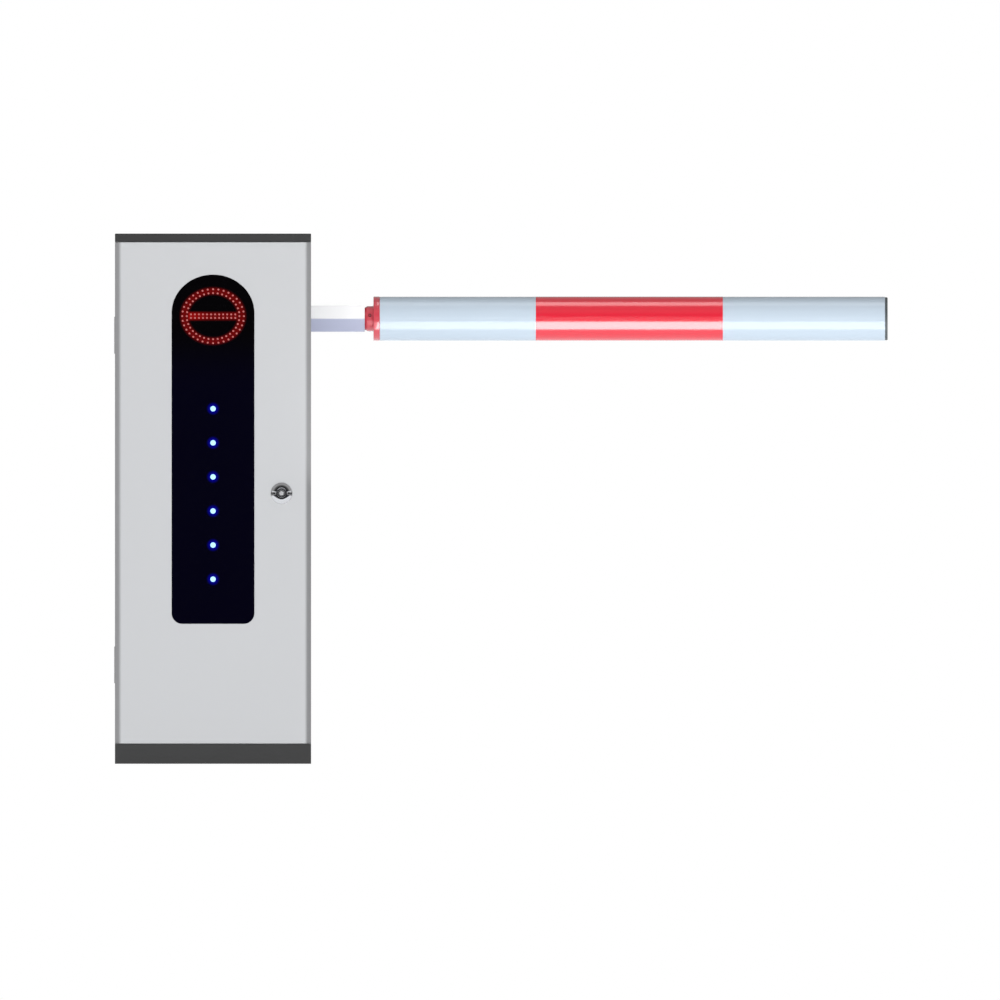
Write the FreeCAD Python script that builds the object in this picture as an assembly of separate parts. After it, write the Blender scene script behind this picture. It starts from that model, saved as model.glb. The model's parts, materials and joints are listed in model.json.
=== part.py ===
# Parking barrier gate: a sheet-steel cabinet with a lit front door, and a boom that a
# worm gearbox, a parallelogram linkage and two balance springs lift through 90 degrees.
# Millimetres. +X runs along the lowered boom, +Y to the rear of the cabinet, +Z up.
# The origin is the middle of the anchor bolt pattern, on the floor.
import FreeCAD, Part
import math
import os

os.makedirs("parts", exist_ok=True)
V = FreeCAD.Vector

# Cabinet
CABINET_W = 357.0
CABINET_D = 300.0
CABINET_H = 965.0
PLINTH_H = 36.0
PLINTH_WALL = 3.0
BASE_PLATE = 8.0
CAP_H = 15.0
SHEET = 2.0
FLANGE = 20.0
ANCHOR_X = 260.0
ANCHOR_Y = 210.0
ANCHOR_R = 7.0
CABLE_W = 120.0
CABLE_D = 70.0
CABLE_Y = -62.0

# Door
DOOR_DEPTH = 25.0
DOOR_SEAM = 5.0
DOOR_GAP = 1.0
DOOR_BEVEL = 9.0
DOOR_RETURN = 14.0
SEAL_W = 8.0
SEAL_GAP = 0.4
HINGE_L = 67.0
HINGE_UP = 780.0
HINGE_LOW = 180.0
HINGE_R = 2.8
HINGE_PIN_R = 1.6
HINGE_INSET = 1.5
LEAF_T = 1.5

# Display panel in the door
PANEL_W = 150.0
PANEL_Z0 = 255.0
PANEL_Z1 = 890.0
ARCH_H = 69.2
PANEL_CORNER = 19.0
PANEL_PROUD = 0.6
PANEL_FLANGE = 8.0
PANEL_BACK = 3.0
RING_Z = 814.8
RING_COUNT = 36
RING_OUTER = (56.1, 49.1)
RING_INNER = (48.0, 42.0)
BAR_COLUMNS = 12
BAR_PITCH = 7.34
BAR_ROWS = 6.4
RED_LED_R = 1.8
BLUE_LED_R = 5.0
BLUE_TOP_Z = 646.3
BLUE_PITCH = 62.06
BLUE_COUNT = 6
BOARD_GAP = 4.0
BOARD_T = 1.6

# Door lock
LOCK_X = 124.7
LOCK_Z = 492.5
LOCK_R = 19.5
LOCK_BARREL_R = 11.0
LOCK_CORE_R = 8.5
LOCK_POST_R = 4.0
CAM_REACH = 45.0
CAM_T = 3.0

# Boom
BOOM_Z = 810.0
BOOM_Y = 225.0
STUB_H = 47.3
STUB_WALL = 3.0
STUB_X0 = -72.0
NECK_X = 276.1
NECK_R = 23.0
COLLAR_X = 291.9
TUBE_X = 303.4
COLLAR_R = 40.4
TUBE_R = 40.0
TUBE_WALL = 2.5
BAND_X0 = 587.5
BAND_X1 = 927.9
BAND_T = 0.2
TUBE_END = 1223.1
END_CAP_T = 4.7
SPIGOT_R = 17.0

# Drive
SHAFT_R = 17.5
BEARING_R = 31.0
BEARING_W = 14.0
PLATE_Y = 20.0
PLATE_T = 8.0
PLATE_HALF = 150.0
REAR_PLATE_T = 6.0
ROD_ARM = 60.0
SPRING_ARM = 50.0
LEVER_T = 12.0
LEVER_Y = -64.0
LEVER_HALF_W = 12.0
PIN_R = 7.0
SPRING_PIN_R = 6.0
SPRING_R = 12.5
SPRING_WIRE = 2.2
SPRING_SPREAD = 24.0
SPRING_PITCH = 7.0
ANCHOR_SHELF_Z = 600.0
BUFFER_L = 28.0
BUFFER_R = 10.0
BUFFER_GAP = 0.3

# Gearbox and motor
GEAR_Z = 520.0
GEAR_Y = -12.0
TEETH = 32
MODULE = 2.5
PRESSURE = math.radians(20)
WORM_PITCH_R = 16.0
THREAD_GAP = 0.35
WHEEL_W = 16.0
OUTPUT_R = 12.5
WORM_SHAFT_R = 8.0
MOTOR_R = 38.0
MOTOR_Z0 = 276.0
ROTOR_R = 22.0
HAND_WHEEL_R = 29.0

# Clearances: FIT between fixed pieces, RUN between turning ones
FIT = 0.05
RUN = 0.06

# Bolts of the frame and of the hub
FRAME_BOLT_R = 4.0
HUB_BOLT_R = 5.0

# Places that follow from the sizes above
SIDE = CABINET_W / 2
FRONT = -CABINET_D / 2
BACK = CABINET_D / 2
SHELL_Z0 = PLINTH_H
SHELL_Z1 = CABINET_H - CAP_H
DOOR_BACK = FRONT + DOOR_DEPTH
SHELL_FRONT = DOOR_BACK + DOOR_SEAM
DOOR_Z0 = SHELL_Z0 + DOOR_GAP
DOOR_Z1 = SHELL_Z1 - DOOR_GAP
HINGE_X = -SIDE + HINGE_INSET
HINGE_Y = (DOOR_BACK + SHELL_FRONT) / 2
PANEL_REAR = FRONT + SHEET + PANEL_BACK
BOARD_Y = PANEL_REAR + BOARD_GAP
STUB_R = STUB_H / 2 / math.cos(math.radians(30))
REAR_WALL = BACK - SHEET
LEVER_END = LEVER_Y + LEVER_T
PITCH_R = TEETH * MODULE / 2
WORM_PITCH = math.pi * MODULE
WORM_X = PITCH_R + WORM_PITCH_R
REST_ANGLE = math.radians(-45)
CRANK_PIN = (ROD_ARM * math.cos(REST_ANGLE), GEAR_Z + ROD_ARM * math.sin(REST_ANGLE))
ROCKER_PIN = (CRANK_PIN[0], BOOM_Z + ROD_ARM * math.sin(REST_ANGLE))
SPRING_PIN = (-SPRING_ARM * math.cos(REST_ANGLE), BOOM_Z - SPRING_ARM * math.sin(REST_ANGLE))
ROD_Y0 = LEVER_Y - 16.0
ROD_Y1 = LEVER_Y - 2.0
SPRING_YS = [LEVER_Y + LEVER_T / 2 - SPRING_SPREAD, LEVER_Y + LEVER_T / 2 + SPRING_SPREAD]


def box(x0, x1, y0, y1, z0, z1):
    return Part.makeBox(x1 - x0, y1 - y0, z1 - z0, V(x0, y0, z0))


def rod_x(r, x0, x1, y, z):
    return Part.makeCylinder(r, x1 - x0, V(x0, y, z), V(1, 0, 0))


def rod_y(r, y0, y1, x, z):
    return Part.makeCylinder(r, y1 - y0, V(x, y0, z), V(0, 1, 0))


def rod_z(r, z0, z1, x, y):
    return Part.makeCylinder(r, z1 - z0, V(x, y, z0))


def ring_y(r_out, r_in, y0, y1, x, z):
    return rod_y(r_out, y0, y1, x, z).cut(rod_y(r_in, y0, y1, x, z))


def ring_z(r_out, r_in, z0, z1, x, y):
    return rod_z(r_out, z0, z1, x, y).cut(rod_z(r_in, z0, z1, x, y))


def hexagon(r, centre, across, length, start=0.0):
    """A hexagonal prism from centre along the vector across, with corners at radius r."""
    axis = V(across)
    side = V(0, 0, 1) if abs(axis.z) < 0.5 else V(0, 1, 0)
    other = axis.cross(side)
    points = []
    for i in range(7):
        a = math.radians(start + 60 * i)
        points.append(V(centre) + side * (r * math.cos(a)) + other * (r * math.sin(a)))
    return Part.Face(Part.makePolygon(points)).extrude(axis * length)


def bolt_y(r, x, z, y_seat, y_end):
    """A hexagon-head bolt along Y, with its head on y_seat and its tip at y_end."""
    out = -1 if y_end > y_seat else 1
    head = hexagon(1.9 * r, (x, y_seat, z), (0, out, 0), 1.3 * r)
    return head.fuse(rod_y(r, min(y_seat, y_end), max(y_seat, y_end), x, z))


def corners(half_x, half_z, x=0.0, z=0.0):
    return [(x + sx * half_x, z + sz * half_z) for sx in (-1, 1) for sz in (-1, 1)]


# ---- Cabinet -------------------------------------------------------------------------------

FLANGE_BOLTS = [(sx * (SIDE - 11), y) for sx in (-1, 1) for y in (-70.0, 100.0)]
CAP_SCREWS = [(sx * 130.0, y) for sx in (-1, 1) for y in (-90.0, 120.0)]


def base_frame():
    """A welded plinth: floor plate, skirt, and a flange that the shell is bolted to."""
    frame = box(-SIDE, SIDE, FRONT, BACK, 0, PLINTH_H)
    upright = [e for e in frame.Edges if abs(e.Vertexes[0].Z - e.Vertexes[1].Z) > 1]
    frame = frame.makeFillet(PLINTH_WALL * 0.9, upright)
    wall = PLINTH_WALL
    frame = frame.cut(box(-SIDE + wall, SIDE - wall, FRONT + wall, BACK - wall,
                          BASE_PLATE, PLINTH_H - wall))
    lip = wall + FLANGE
    frame = frame.cut(box(-SIDE + lip, SIDE - lip, FRONT + lip, BACK - lip,
                          PLINTH_H - wall, PLINTH_H))
    for x, y in corners(ANCHOR_X / 2, ANCHOR_Y / 2):
        frame = frame.cut(rod_z(ANCHOR_R, 0, BASE_PLATE, x, y))
    frame = frame.cut(box(-CABLE_W / 2, CABLE_W / 2, CABLE_Y - CABLE_D / 2, CABLE_Y + CABLE_D / 2,
                          0, BASE_PLATE))
    for x, y in FLANGE_BOLTS:
        frame = frame.cut(rod_z(FRAME_BOLT_R + FIT, PLINTH_H - wall, PLINTH_H, x, y))
    return frame


def hinge_space(z):
    """The room that one hinge barrel and its leaves need in the walls beside it."""
    z0 = z - HINGE_L / 2 - 0.5
    z1 = z + HINGE_L / 2 + 0.5
    barrel = rod_z(HINGE_R + 0.3, z0, z1, HINGE_X, HINGE_Y)
    leaf_x = -SIDE + SHEET
    leaf = box(leaf_x, leaf_x + LEAF_T + 0.2, DOOR_BACK - SHEET, SHELL_FRONT + SHEET, z0, z1)
    return barrel.fuse(leaf)


def cabinet_shell():
    """Sides, back and top in one folded sheet, with a flange all round the front."""
    shell = box(-SIDE, SIDE, SHELL_FRONT, BACK, SHELL_Z0, SHELL_Z1)
    rear = [e for e in shell.Edges if abs(e.Vertexes[0].Z - e.Vertexes[1].Z) > 1 and e.Vertexes[0].Y > 0]
    shell = shell.makeFillet(SHEET * 0.9, rear)
    x = SIDE - SHEET
    shell = shell.cut(box(-x, x, SHELL_FRONT + SHEET, BACK - SHEET, SHELL_Z0 + SHEET, SHELL_Z1 - SHEET))
    x = SIDE - FLANGE
    shell = shell.cut(box(-x, x, SHELL_FRONT, SHELL_FRONT + SHEET, SHELL_Z0 + FLANGE, SHELL_Z1 - FLANGE))
    shell = shell.cut(box(-x, x, SHELL_FRONT + FLANGE, BACK - FLANGE, SHELL_Z0, SHELL_Z0 + SHEET))
    shell = shell.cut(rod_y(SHAFT_R + 3, BACK - SHEET, BACK, 0, BOOM_Z))
    for x, y in FLANGE_BOLTS:
        shell = shell.cut(rod_z(FRAME_BOLT_R + FIT, SHELL_Z0, SHELL_Z0 + SHEET, x, y))
    for x, y in CAP_SCREWS:
        shell = shell.cut(rod_z(2.5 + FIT, SHELL_Z1 - SHEET, SHELL_Z1, x, y))
    for z in (HINGE_LOW, HINGE_UP):
        shell = shell.cut(hinge_space(z))
    return shell


def top_cap():
    """A shallow lid that covers the shell and the top of the door."""
    cap = box(-SIDE, SIDE, FRONT, BACK, SHELL_Z1, CABINET_H)
    rim = [e for e in cap.Edges if min(v.Z for v in e.Vertexes) > CABINET_H - 1]
    cap = cap.makeFillet(1.5, rim)
    x = SIDE - SHEET
    cap = cap.cut(box(-x, x, FRONT + SHEET, BACK - SHEET, SHELL_Z1, CABINET_H - SHEET))
    for x, y in CAP_SCREWS:
        cap = cap.fuse(ring_z(7, 2.5 + FIT, SHELL_Z1, CABINET_H - SHEET, x, y))
    return cap


def cabinet_screws():
    """Flange bolts with their nuts, and the screws that hold the cap from below."""
    pieces = []
    for x, y in FLANGE_BOLTS:
        top = SHELL_Z0 + SHEET
        low = PLINTH_H - PLINTH_WALL
        bolt = hexagon(7.4, (x, y, top), (0, 0, 1), 5.3).fuse(rod_z(FRAME_BOLT_R, low - 9, top, x, y))
        nut = hexagon(7.4, (x, y, low - 6.5), (0, 0, 1), 6.5)
        nut = nut.cut(rod_z(FRAME_BOLT_R + FIT, low - 7, low, x, y))
        pieces += [bolt, nut]
    for x, y in CAP_SCREWS:
        head = rod_z(4.5, SHELL_Z1 - SHEET - 3, SHELL_Z1 - SHEET, x, y)
        pieces.append(head.fuse(rod_z(2.5, SHELL_Z1 - SHEET, CABINET_H - SHEET - 1, x, y)))
    return Part.makeCompound(pieces)


def door_seal():
    """A rubber strip on the shell's front flange."""
    outer = SIDE - FLANGE / 2 + SEAL_W / 2
    y0 = DOOR_BACK + SEAL_GAP
    z0 = SHELL_Z0 + FLANGE / 2 - SEAL_W / 2
    z1 = SHELL_Z1 - FLANGE / 2 + SEAL_W / 2
    seal = box(-outer, outer, y0, SHELL_FRONT, z0, z1)
    inner = outer - SEAL_W
    return seal.cut(box(-inner, inner, y0, SHELL_FRONT, z0 + SEAL_W, z1 - SEAL_W))


def hinge_knuckles(z, spans):
    """Hinge barrel stretches, each given as its ends above and below the hinge's middle."""
    shapes = [rod_z(HINGE_R, z + a, z + b, HINGE_X, HINGE_Y) for a, b in spans]
    return shapes[0].multiFuse(shapes[1:]) if len(shapes) > 1 else shapes[0]


def hinge_fixed_leaves():
    """The shell's leaves, each with the hinge pin pressed into its two outer knuckles."""
    half = HINGE_L / 2
    third = HINGE_L / 5
    leaf_x = -SIDE + SHEET
    leaves = []
    for z in (HINGE_LOW, HINGE_UP):
        leaf = box(leaf_x, leaf_x + LEAF_T, HINGE_Y + 1, HINGE_Y + 27, z - half, z + half)
        notch = third + 0.4
        leaf = leaf.cut(box(leaf_x, leaf_x + LEAF_T, HINGE_Y, HINGE_Y + HINGE_R + 0.4,
                            z - notch, z + notch))
        leaf = leaf.fuse(hinge_knuckles(z, [(-half, -third), (third, half)]))
        leaves.append(leaf.cut(rod_z(HINGE_PIN_R + FIT, z - half, z + half, HINGE_X, HINGE_Y)))
        leaves.append(rod_z(HINGE_PIN_R, z - half, z + half, HINGE_X, HINGE_Y))
    return Part.makeCompound(leaves)


def hinge_moving_leaves():
    half = HINGE_L / 2
    third = HINGE_L / 5 - 0.2
    leaf_x = -SIDE + SHEET
    low_y = HINGE_Y - 16
    leaves = []
    for z in (HINGE_LOW, HINGE_UP):
        leaf = box(leaf_x, leaf_x + LEAF_T, low_y, HINGE_Y - 1, z - half, z + half)
        for side in (-1, 1):
            a, b = sorted((side * (third + 0.2), side * half))
            leaf = leaf.cut(box(leaf_x, leaf_x + LEAF_T, HINGE_Y - HINGE_R - 0.4, HINGE_Y, z + a, z + b))
        leaf = leaf.fuse(hinge_knuckles(z, [(-third, third)]))
        leaves.append(leaf.cut(rod_z(HINGE_PIN_R + RUN, z - half, z + half, HINGE_X, HINGE_Y)))
    return Part.makeCompound(leaves)


# ---- Door and display ----------------------------------------------------------------------

def panel_outline(grow, y):
    """The display's outline, a rectangle under a half ellipse, grown outward by grow."""
    a = PANEL_W / 2 + grow
    b = ARCH_H + grow
    r = PANEL_CORNER + grow
    low = PANEL_Z0 - grow
    spring = PANEL_Z1 - ARCH_H
    bend = r * (1 - math.sqrt(0.5))
    arch = Part.Ellipse(V(a, y, spring), V(0, y, spring + b), V(0, y, spring))
    edges = [
        Part.LineSegment(V(-a + r, y, low), V(a - r, y, low)).toShape(),
        Part.Arc(V(a - r, y, low), V(a - bend, y, low + bend), V(a, y, low + r)).toShape(),
        Part.LineSegment(V(a, y, low + r), V(a, y, spring)).toShape(),
        Part.Arc(arch, 0, math.pi).toShape(),
        Part.LineSegment(V(-a, y, spring), V(-a, y, low + r)).toShape(),
        Part.Arc(V(-a, y, low + r), V(-a + bend, y, low + bend), V(-a + r, y, low)).toShape(),
    ]
    return Part.Face(Part.Wire(edges))


def red_led_places():
    places = []
    for a, b in (RING_OUTER, RING_INNER):
        for i in range(RING_COUNT):
            turn = 2 * math.pi * i / RING_COUNT
            places.append((a * math.sin(turn), RING_Z + b * math.cos(turn)))
    for i in range(BAR_COLUMNS):
        x = (i - (BAR_COLUMNS - 1) / 2) * BAR_PITCH
        places += [(x, RING_Z - BAR_ROWS / 2), (x, RING_Z + BAR_ROWS / 2)]
    return places


def blue_led_places():
    return [(0.0, BLUE_TOP_Z - i * BLUE_PITCH) for i in range(BLUE_COUNT)]


def door_prism(inset, y1, z0, z1):
    """The door's bevelled plan, drawn in by inset and run from z0 to z1."""
    x = SIDE - inset
    y = FRONT + inset
    cut = DOOR_BEVEL - inset * (2 - math.sqrt(2))
    points = [V(-x, y1, z0), V(-x, y + cut, z0), V(-x + cut, y, z0), V(x - cut, y, z0), V(x, y + cut, z0)]
    points += [V(x, y1, z0), V(-x, y1, z0)]
    return Part.Face(Part.makePolygon(points)).extrude(V(0, 0, z1 - z0))


def door_panel():
    """A folded door pan with bevelled front edges and returns round its back."""
    door = door_prism(0, DOOR_BACK, DOOR_Z0, DOOR_Z1)
    door = door.cut(door_prism(SHEET, DOOR_BACK - SHEET, DOOR_Z0 + SHEET, DOOR_Z1 - SHEET))
    x = SIDE - SHEET - DOOR_RETURN
    edge = SHEET + DOOR_RETURN
    door = door.cut(box(-x, x, DOOR_BACK - SHEET, DOOR_BACK, DOOR_Z0 + edge, DOOR_Z1 - edge))
    door = door.cut(panel_outline(0.3, FRONT).extrude(V(0, SHEET, 0)))
    door = door.cut(rod_y(LOCK_BARREL_R + 0.1, FRONT, FRONT + SHEET, LOCK_X, LOCK_Z))
    for z in (HINGE_LOW, HINGE_UP):
        door = door.cut(hinge_space(z))
    return door


def display_panel():
    """The dark lens plate: its face stands in the door, and a wider rear flange holds it."""
    face = panel_outline(0, FRONT - PANEL_PROUD).extrude(V(0, PANEL_PROUD + SHEET, 0))
    flange = panel_outline(PANEL_FLANGE, FRONT + SHEET).extrude(V(0, PANEL_BACK, 0))
    y0 = FRONT - PANEL_PROUD
    holes = [rod_y(RED_LED_R + FIT, y0, PANEL_REAR, x, z) for x, z in red_led_places()]
    holes += [rod_y(BLUE_LED_R + FIT, y0, PANEL_REAR, x, z) for x, z in blue_led_places()]
    return face.fuse(flange).removeSplitter().cut(Part.makeCompound(holes))


def display_mounts():
    """Stepped clips that hold the panel in the door, and the posts behind it for the board."""
    edge = PANEL_W / 2 + PANEL_FLANGE
    clips = []
    for z in (310.0, 530.0, 750.0):
        for side in (-1, 1):
            a, b = sorted((side * (edge - 6), side * (edge + 14)))
            c, d = sorted((side * (edge + 0.3), side * (edge + 14)))
            clip = box(a, b, PANEL_REAR, PANEL_REAR + 2, z - 12, z + 12)
            clips.append(clip.fuse(box(c, d, FRONT + SHEET, PANEL_REAR, z - 12, z + 12)))
    for z in (360.0, 560.0, 755.0):
        clips += [rod_y(3.5, PANEL_REAR, BOARD_Y, x, z) for x in (-58, 58)]
    return Part.makeCompound(clips)


def led_lens(r, x, z, proud):
    """A lens that runs from the board to just in front of the panel, with a round nose."""
    y0 = FRONT - PANEL_PROUD - proud
    lens = rod_y(r, y0, BOARD_Y, x, z)
    return lens.makeFillet(proud * 0.9, [e for e in lens.Edges if e.BoundBox.YMax < y0 + 0.01])


def red_leds():
    return Part.makeCompound([led_lens(RED_LED_R, x, z, 0.5) for x, z in red_led_places()])


def blue_leds():
    return Part.makeCompound([led_lens(BLUE_LED_R, x, z, 1.2) for x, z in blue_led_places()])


def led_board():
    board = box(-67, 67, BOARD_Y, BOARD_Y + BOARD_T, 318, 878)
    driver = box(-18, 18, BOARD_Y + BOARD_T, BOARD_Y + BOARD_T + 6, 700, 730)
    socket = box(-10, 10, BOARD_Y + BOARD_T, BOARD_Y + BOARD_T + 8, 350, 362)
    return board.fuse(driver).fuse(socket)


# ---- Door lock -----------------------------------------------------------------------------

LOCK_FACE = FRONT - 4.0
CAM_Y = SHELL_FRONT + SHEET + 0.8


def lock_housing():
    """A domed rosette with its barrel, and the nut that holds it behind the door sheet."""
    r = LOCK_CORE_R + RUN
    arc = Part.Arc(V(10.5, LOCK_FACE, 0), V(16.4, FRONT - 3.0, 0), V(LOCK_R, FRONT - 0.8, 0)).toShape()
    path = [V(LOCK_R, FRONT - 0.8, 0), V(LOCK_R, FRONT, 0), V(LOCK_BARREL_R, FRONT, 0)]
    path += [V(LOCK_BARREL_R, DOOR_BACK, 0), V(r, DOOR_BACK, 0), V(r, LOCK_FACE, 0), V(10.5, LOCK_FACE, 0)]
    lines = [Part.makeLine(path[i], path[i + 1]) for i in range(len(path) - 1)]
    body = Part.Face(Part.Wire([arc] + lines)).revolve(V(0, 0, 0), V(0, 1, 0), 360)
    body.translate(V(LOCK_X, 0, LOCK_Z))
    y = FRONT + SHEET
    nut = hexagon(17, (LOCK_X, y, LOCK_Z), (0, 1, 0), 5)
    nut = nut.cut(rod_y(LOCK_BARREL_R + FIT, y, y + 5, LOCK_X, LOCK_Z))
    return Part.makeCompound([body, nut])


def lock_core():
    """The turning barrel; its rear end carries the cam."""
    core = rod_y(LOCK_CORE_R, LOCK_FACE - 0.3, DOOR_BACK, LOCK_X, LOCK_Z)
    core = core.fuse(rod_y(6, DOOR_BACK, CAM_Y + CAM_T + 3, LOCK_X, LOCK_Z))
    return core.cut(rod_y(LOCK_POST_R + FIT, LOCK_FACE - 1, FRONT + 4, LOCK_X, LOCK_Z))


def lock_post():
    """The bright middle post of the key socket."""
    return rod_y(LOCK_POST_R, LOCK_FACE - 0.8, FRONT + 4, LOCK_X, LOCK_Z)


def lock_cam():
    """The latch, hanging down when unlocked; a quarter turn brings it behind the flange."""
    cam = rod_y(9, CAM_Y, CAM_Y + CAM_T, LOCK_X, LOCK_Z)
    cam = cam.fuse(box(LOCK_X - 9, LOCK_X + 9, CAM_Y, CAM_Y + CAM_T, LOCK_Z - CAM_REACH, LOCK_Z))
    return cam.cut(rod_y(6 + FIT, CAM_Y, CAM_Y + CAM_T, LOCK_X, LOCK_Z))


# ---- Mechanism frame -----------------------------------------------------------------------

PLATE_TOP = SHELL_Z1 - 30
BRACKET_ZS = (150.0, 480.0, 830.0)
HOUSING_BOLTS = corners(31, 31, 0, BOOM_Z)
GEARBOX_X0 = -PITCH_R - 16
GEARBOX_X1 = WORM_X + WORM_PITCH_R + 16
GEARBOX_Z0 = GEAR_Z - PITCH_R - 18
GEARBOX_Z1 = GEAR_Z + PITCH_R + 18
GEARBOX_WALL = 10.0
GEARBOX_BACK_FACE = PLATE_Y - 8.0
GEARBOX_FRONT = GEAR_Y - WHEEL_W / 2 - 18
COVER_Y = GEARBOX_FRONT - 6
GEARBOX_BOLTS = corners((GEARBOX_X1 - GEARBOX_X0) / 2 - 5, (GEARBOX_Z1 - GEARBOX_Z0) / 2 - 5,
                        (GEARBOX_X0 + GEARBOX_X1) / 2, GEAR_Z)


def mechanism_plate():
    """The upright plate that carries the front bearing, the gearbox and the electrics."""
    y0 = PLATE_Y
    y1 = PLATE_Y + PLATE_T
    plate = box(-PLATE_HALF, PLATE_HALF, y0, y1, BASE_PLATE, PLATE_TOP)
    plate = plate.cut(rod_y(SHAFT_R + 4, y0, y1, 0, BOOM_Z))
    window = MOTOR_R + 6
    plate = plate.cut(box(WORM_X - window, WORM_X + window, y0, y1, MOTOR_Z0 - 12, GEARBOX_Z0))
    for x, z in HOUSING_BOLTS + GEARBOX_BOLTS:
        plate = plate.cut(rod_y(FRAME_BOLT_R + FIT, y0, y1, x, z))
    return plate


def frame_brackets():
    """Angles from the plate to the shell's sides, its foot, and the rear bearing's stiffener."""
    y = PLATE_Y + PLATE_T
    wall = SIDE - SHEET
    pieces = []
    for z in BRACKET_ZS:
        for side in (-1, 1):
            a, b = sorted((side * (PLATE_HALF - 25), side * wall))
            c, d = sorted((side * (wall - 6), side * wall))
            pieces.append(box(a, b, y, y + 6, z, z + 60).fuse(box(c, d, y, y + 40, z, z + 60)))
    foot = box(-110, 110, y, y + 6, BASE_PLATE, 60)
    foot = foot.fuse(box(-110, 110, y, y + 55, BASE_PLATE, BASE_PLATE + 6))
    y = REAR_WALL - REAR_PLATE_T
    rear = box(-120, 120, y, REAR_WALL, BOOM_Z - 90, BOOM_Z + 90)
    rear = rear.cut(rod_y(SHAFT_R + 4, y, REAR_WALL, 0, BOOM_Z))
    for x, z in HOUSING_BOLTS:
        rear = rear.cut(rod_y(FRAME_BOLT_R + FIT, y, REAR_WALL, x, z))
    return Part.makeCompound(pieces + [foot, rear])


def bearing_block(y):
    """A round flanged housing whose foot stands on a plate face at y, towards the front."""
    body = rod_y(52.5, y - 10, y, 0, BOOM_Z).fuse(rod_y(BEARING_R + 4, y - 30, y, 0, BOOM_Z))
    body = body.cut(rod_y(SHAFT_R + 4, y - 12, y, 0, BOOM_Z))
    body = body.cut(rod_y(BEARING_R + FIT, y - 30, y - 12, 0, BOOM_Z))
    for x, z in HOUSING_BOLTS:
        body = body.cut(rod_y(FRAME_BOLT_R + FIT, y - 10, y, x, z))
    return body


BEARING_YS = [PLATE_Y - 12 - BEARING_W, REAR_WALL - REAR_PLATE_T - 12 - BEARING_W]


def bearing_housings():
    return Part.makeCompound([bearing_block(PLATE_Y), bearing_block(REAR_WALL - REAR_PLATE_T)])


BALL_PATH_R = 24.25
BALL_R = 4.53


def bearing_ring(y, r_out, r_in):
    ring = ring_y(r_out, r_in, y, y + BEARING_W, 0, BOOM_Z)
    return ring.cut(Part.makeTorus(BALL_PATH_R, BALL_R + RUN, V(0, y + BEARING_W / 2, BOOM_Z), V(0, 1, 0)))


def bearing_outer_rings():
    """The outer rings of the two shaft bearings, with their balls."""
    pieces = []
    for y in BEARING_YS:
        pieces.append(bearing_ring(y, BEARING_R, BALL_PATH_R + 2.25))
        for i in range(10):
            a = math.radians(36 * i)
            centre = V(BALL_PATH_R * math.cos(a), y + BEARING_W / 2, BOOM_Z + BALL_PATH_R * math.sin(a))
            pieces.append(Part.makeSphere(BALL_R, centre))
    return Part.makeCompound(pieces)


def bearing_inner_rings():
    return Part.makeCompound([bearing_ring(y, BALL_PATH_R - 2.25, SHAFT_R + FIT) for y in BEARING_YS])


def mechanism_bolts():
    """Bolts of both bearing housings and of the gearbox, and the gearbox cover's screws."""
    flange = 10
    rear = REAR_WALL - REAR_PLATE_T
    bolts = [bolt_y(FRAME_BOLT_R, x, z, PLATE_Y - flange, PLATE_Y + PLATE_T + 2) for x, z in HOUSING_BOLTS]
    bolts += [bolt_y(FRAME_BOLT_R, x, z, rear - flange, REAR_WALL) for x, z in HOUSING_BOLTS]
    bolts += [bolt_y(FRAME_BOLT_R, x, z, PLATE_Y + PLATE_T, PLATE_Y - 20) for x, z in GEARBOX_BOLTS]
    bolts += [bolt_y(2.5, x, z, COVER_Y, GEARBOX_FRONT + 12) for x, z in GEARBOX_BOLTS]
    return Part.makeCompound(bolts)


def shaft_seal():
    """A rubber ring in the back wall round the boom shaft."""
    groove = SHAFT_R + 3 - FIT
    ring = rod_y(groove, REAR_WALL, BACK, 0, BOOM_Z).fuse(rod_y(groove + 8, BACK, BACK + 4, 0, BOOM_Z))
    return ring.cut(rod_y(SHAFT_R + 0.1, REAR_WALL, BACK + 4, 0, BOOM_Z))


# ---- Boom shaft, rocker and boom -----------------------------------------------------------

HUB_Y0 = BACK + 6
HUB_Y1 = BOOM_Y - STUB_R - 20
BRACKET_X = 64.0
HUB_BOLTS = corners(34, 24, 0, BOOM_Z)


def main_shaft():
    return rod_y(SHAFT_R, LEVER_Y, HUB_Y1, 0, BOOM_Z)


def lever_arm(length, angle, x, z, end_r):
    """A straight arm from (x, z) in the lever plane, with a round end."""
    arm = box(0, length, LEVER_Y, LEVER_END, -LEVER_HALF_W, LEVER_HALF_W)
    arm = arm.fuse(rod_y(end_r, LEVER_Y, LEVER_END, length, 0))
    arm.rotate(V(0, 0, 0), V(0, -1, 0), math.degrees(angle))
    arm.translate(V(x, 0, z))
    return arm


def rod_pin(x, z):
    """A shouldered pin for a rod end, headed at its front."""
    head = rod_y(PIN_R + 3, ROD_Y0 - 3.5, ROD_Y0 - 0.5, x, z)
    return rod_y(PIN_R, ROD_Y0 - 0.5, LEVER_END, x, z).fuse(head)


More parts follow.
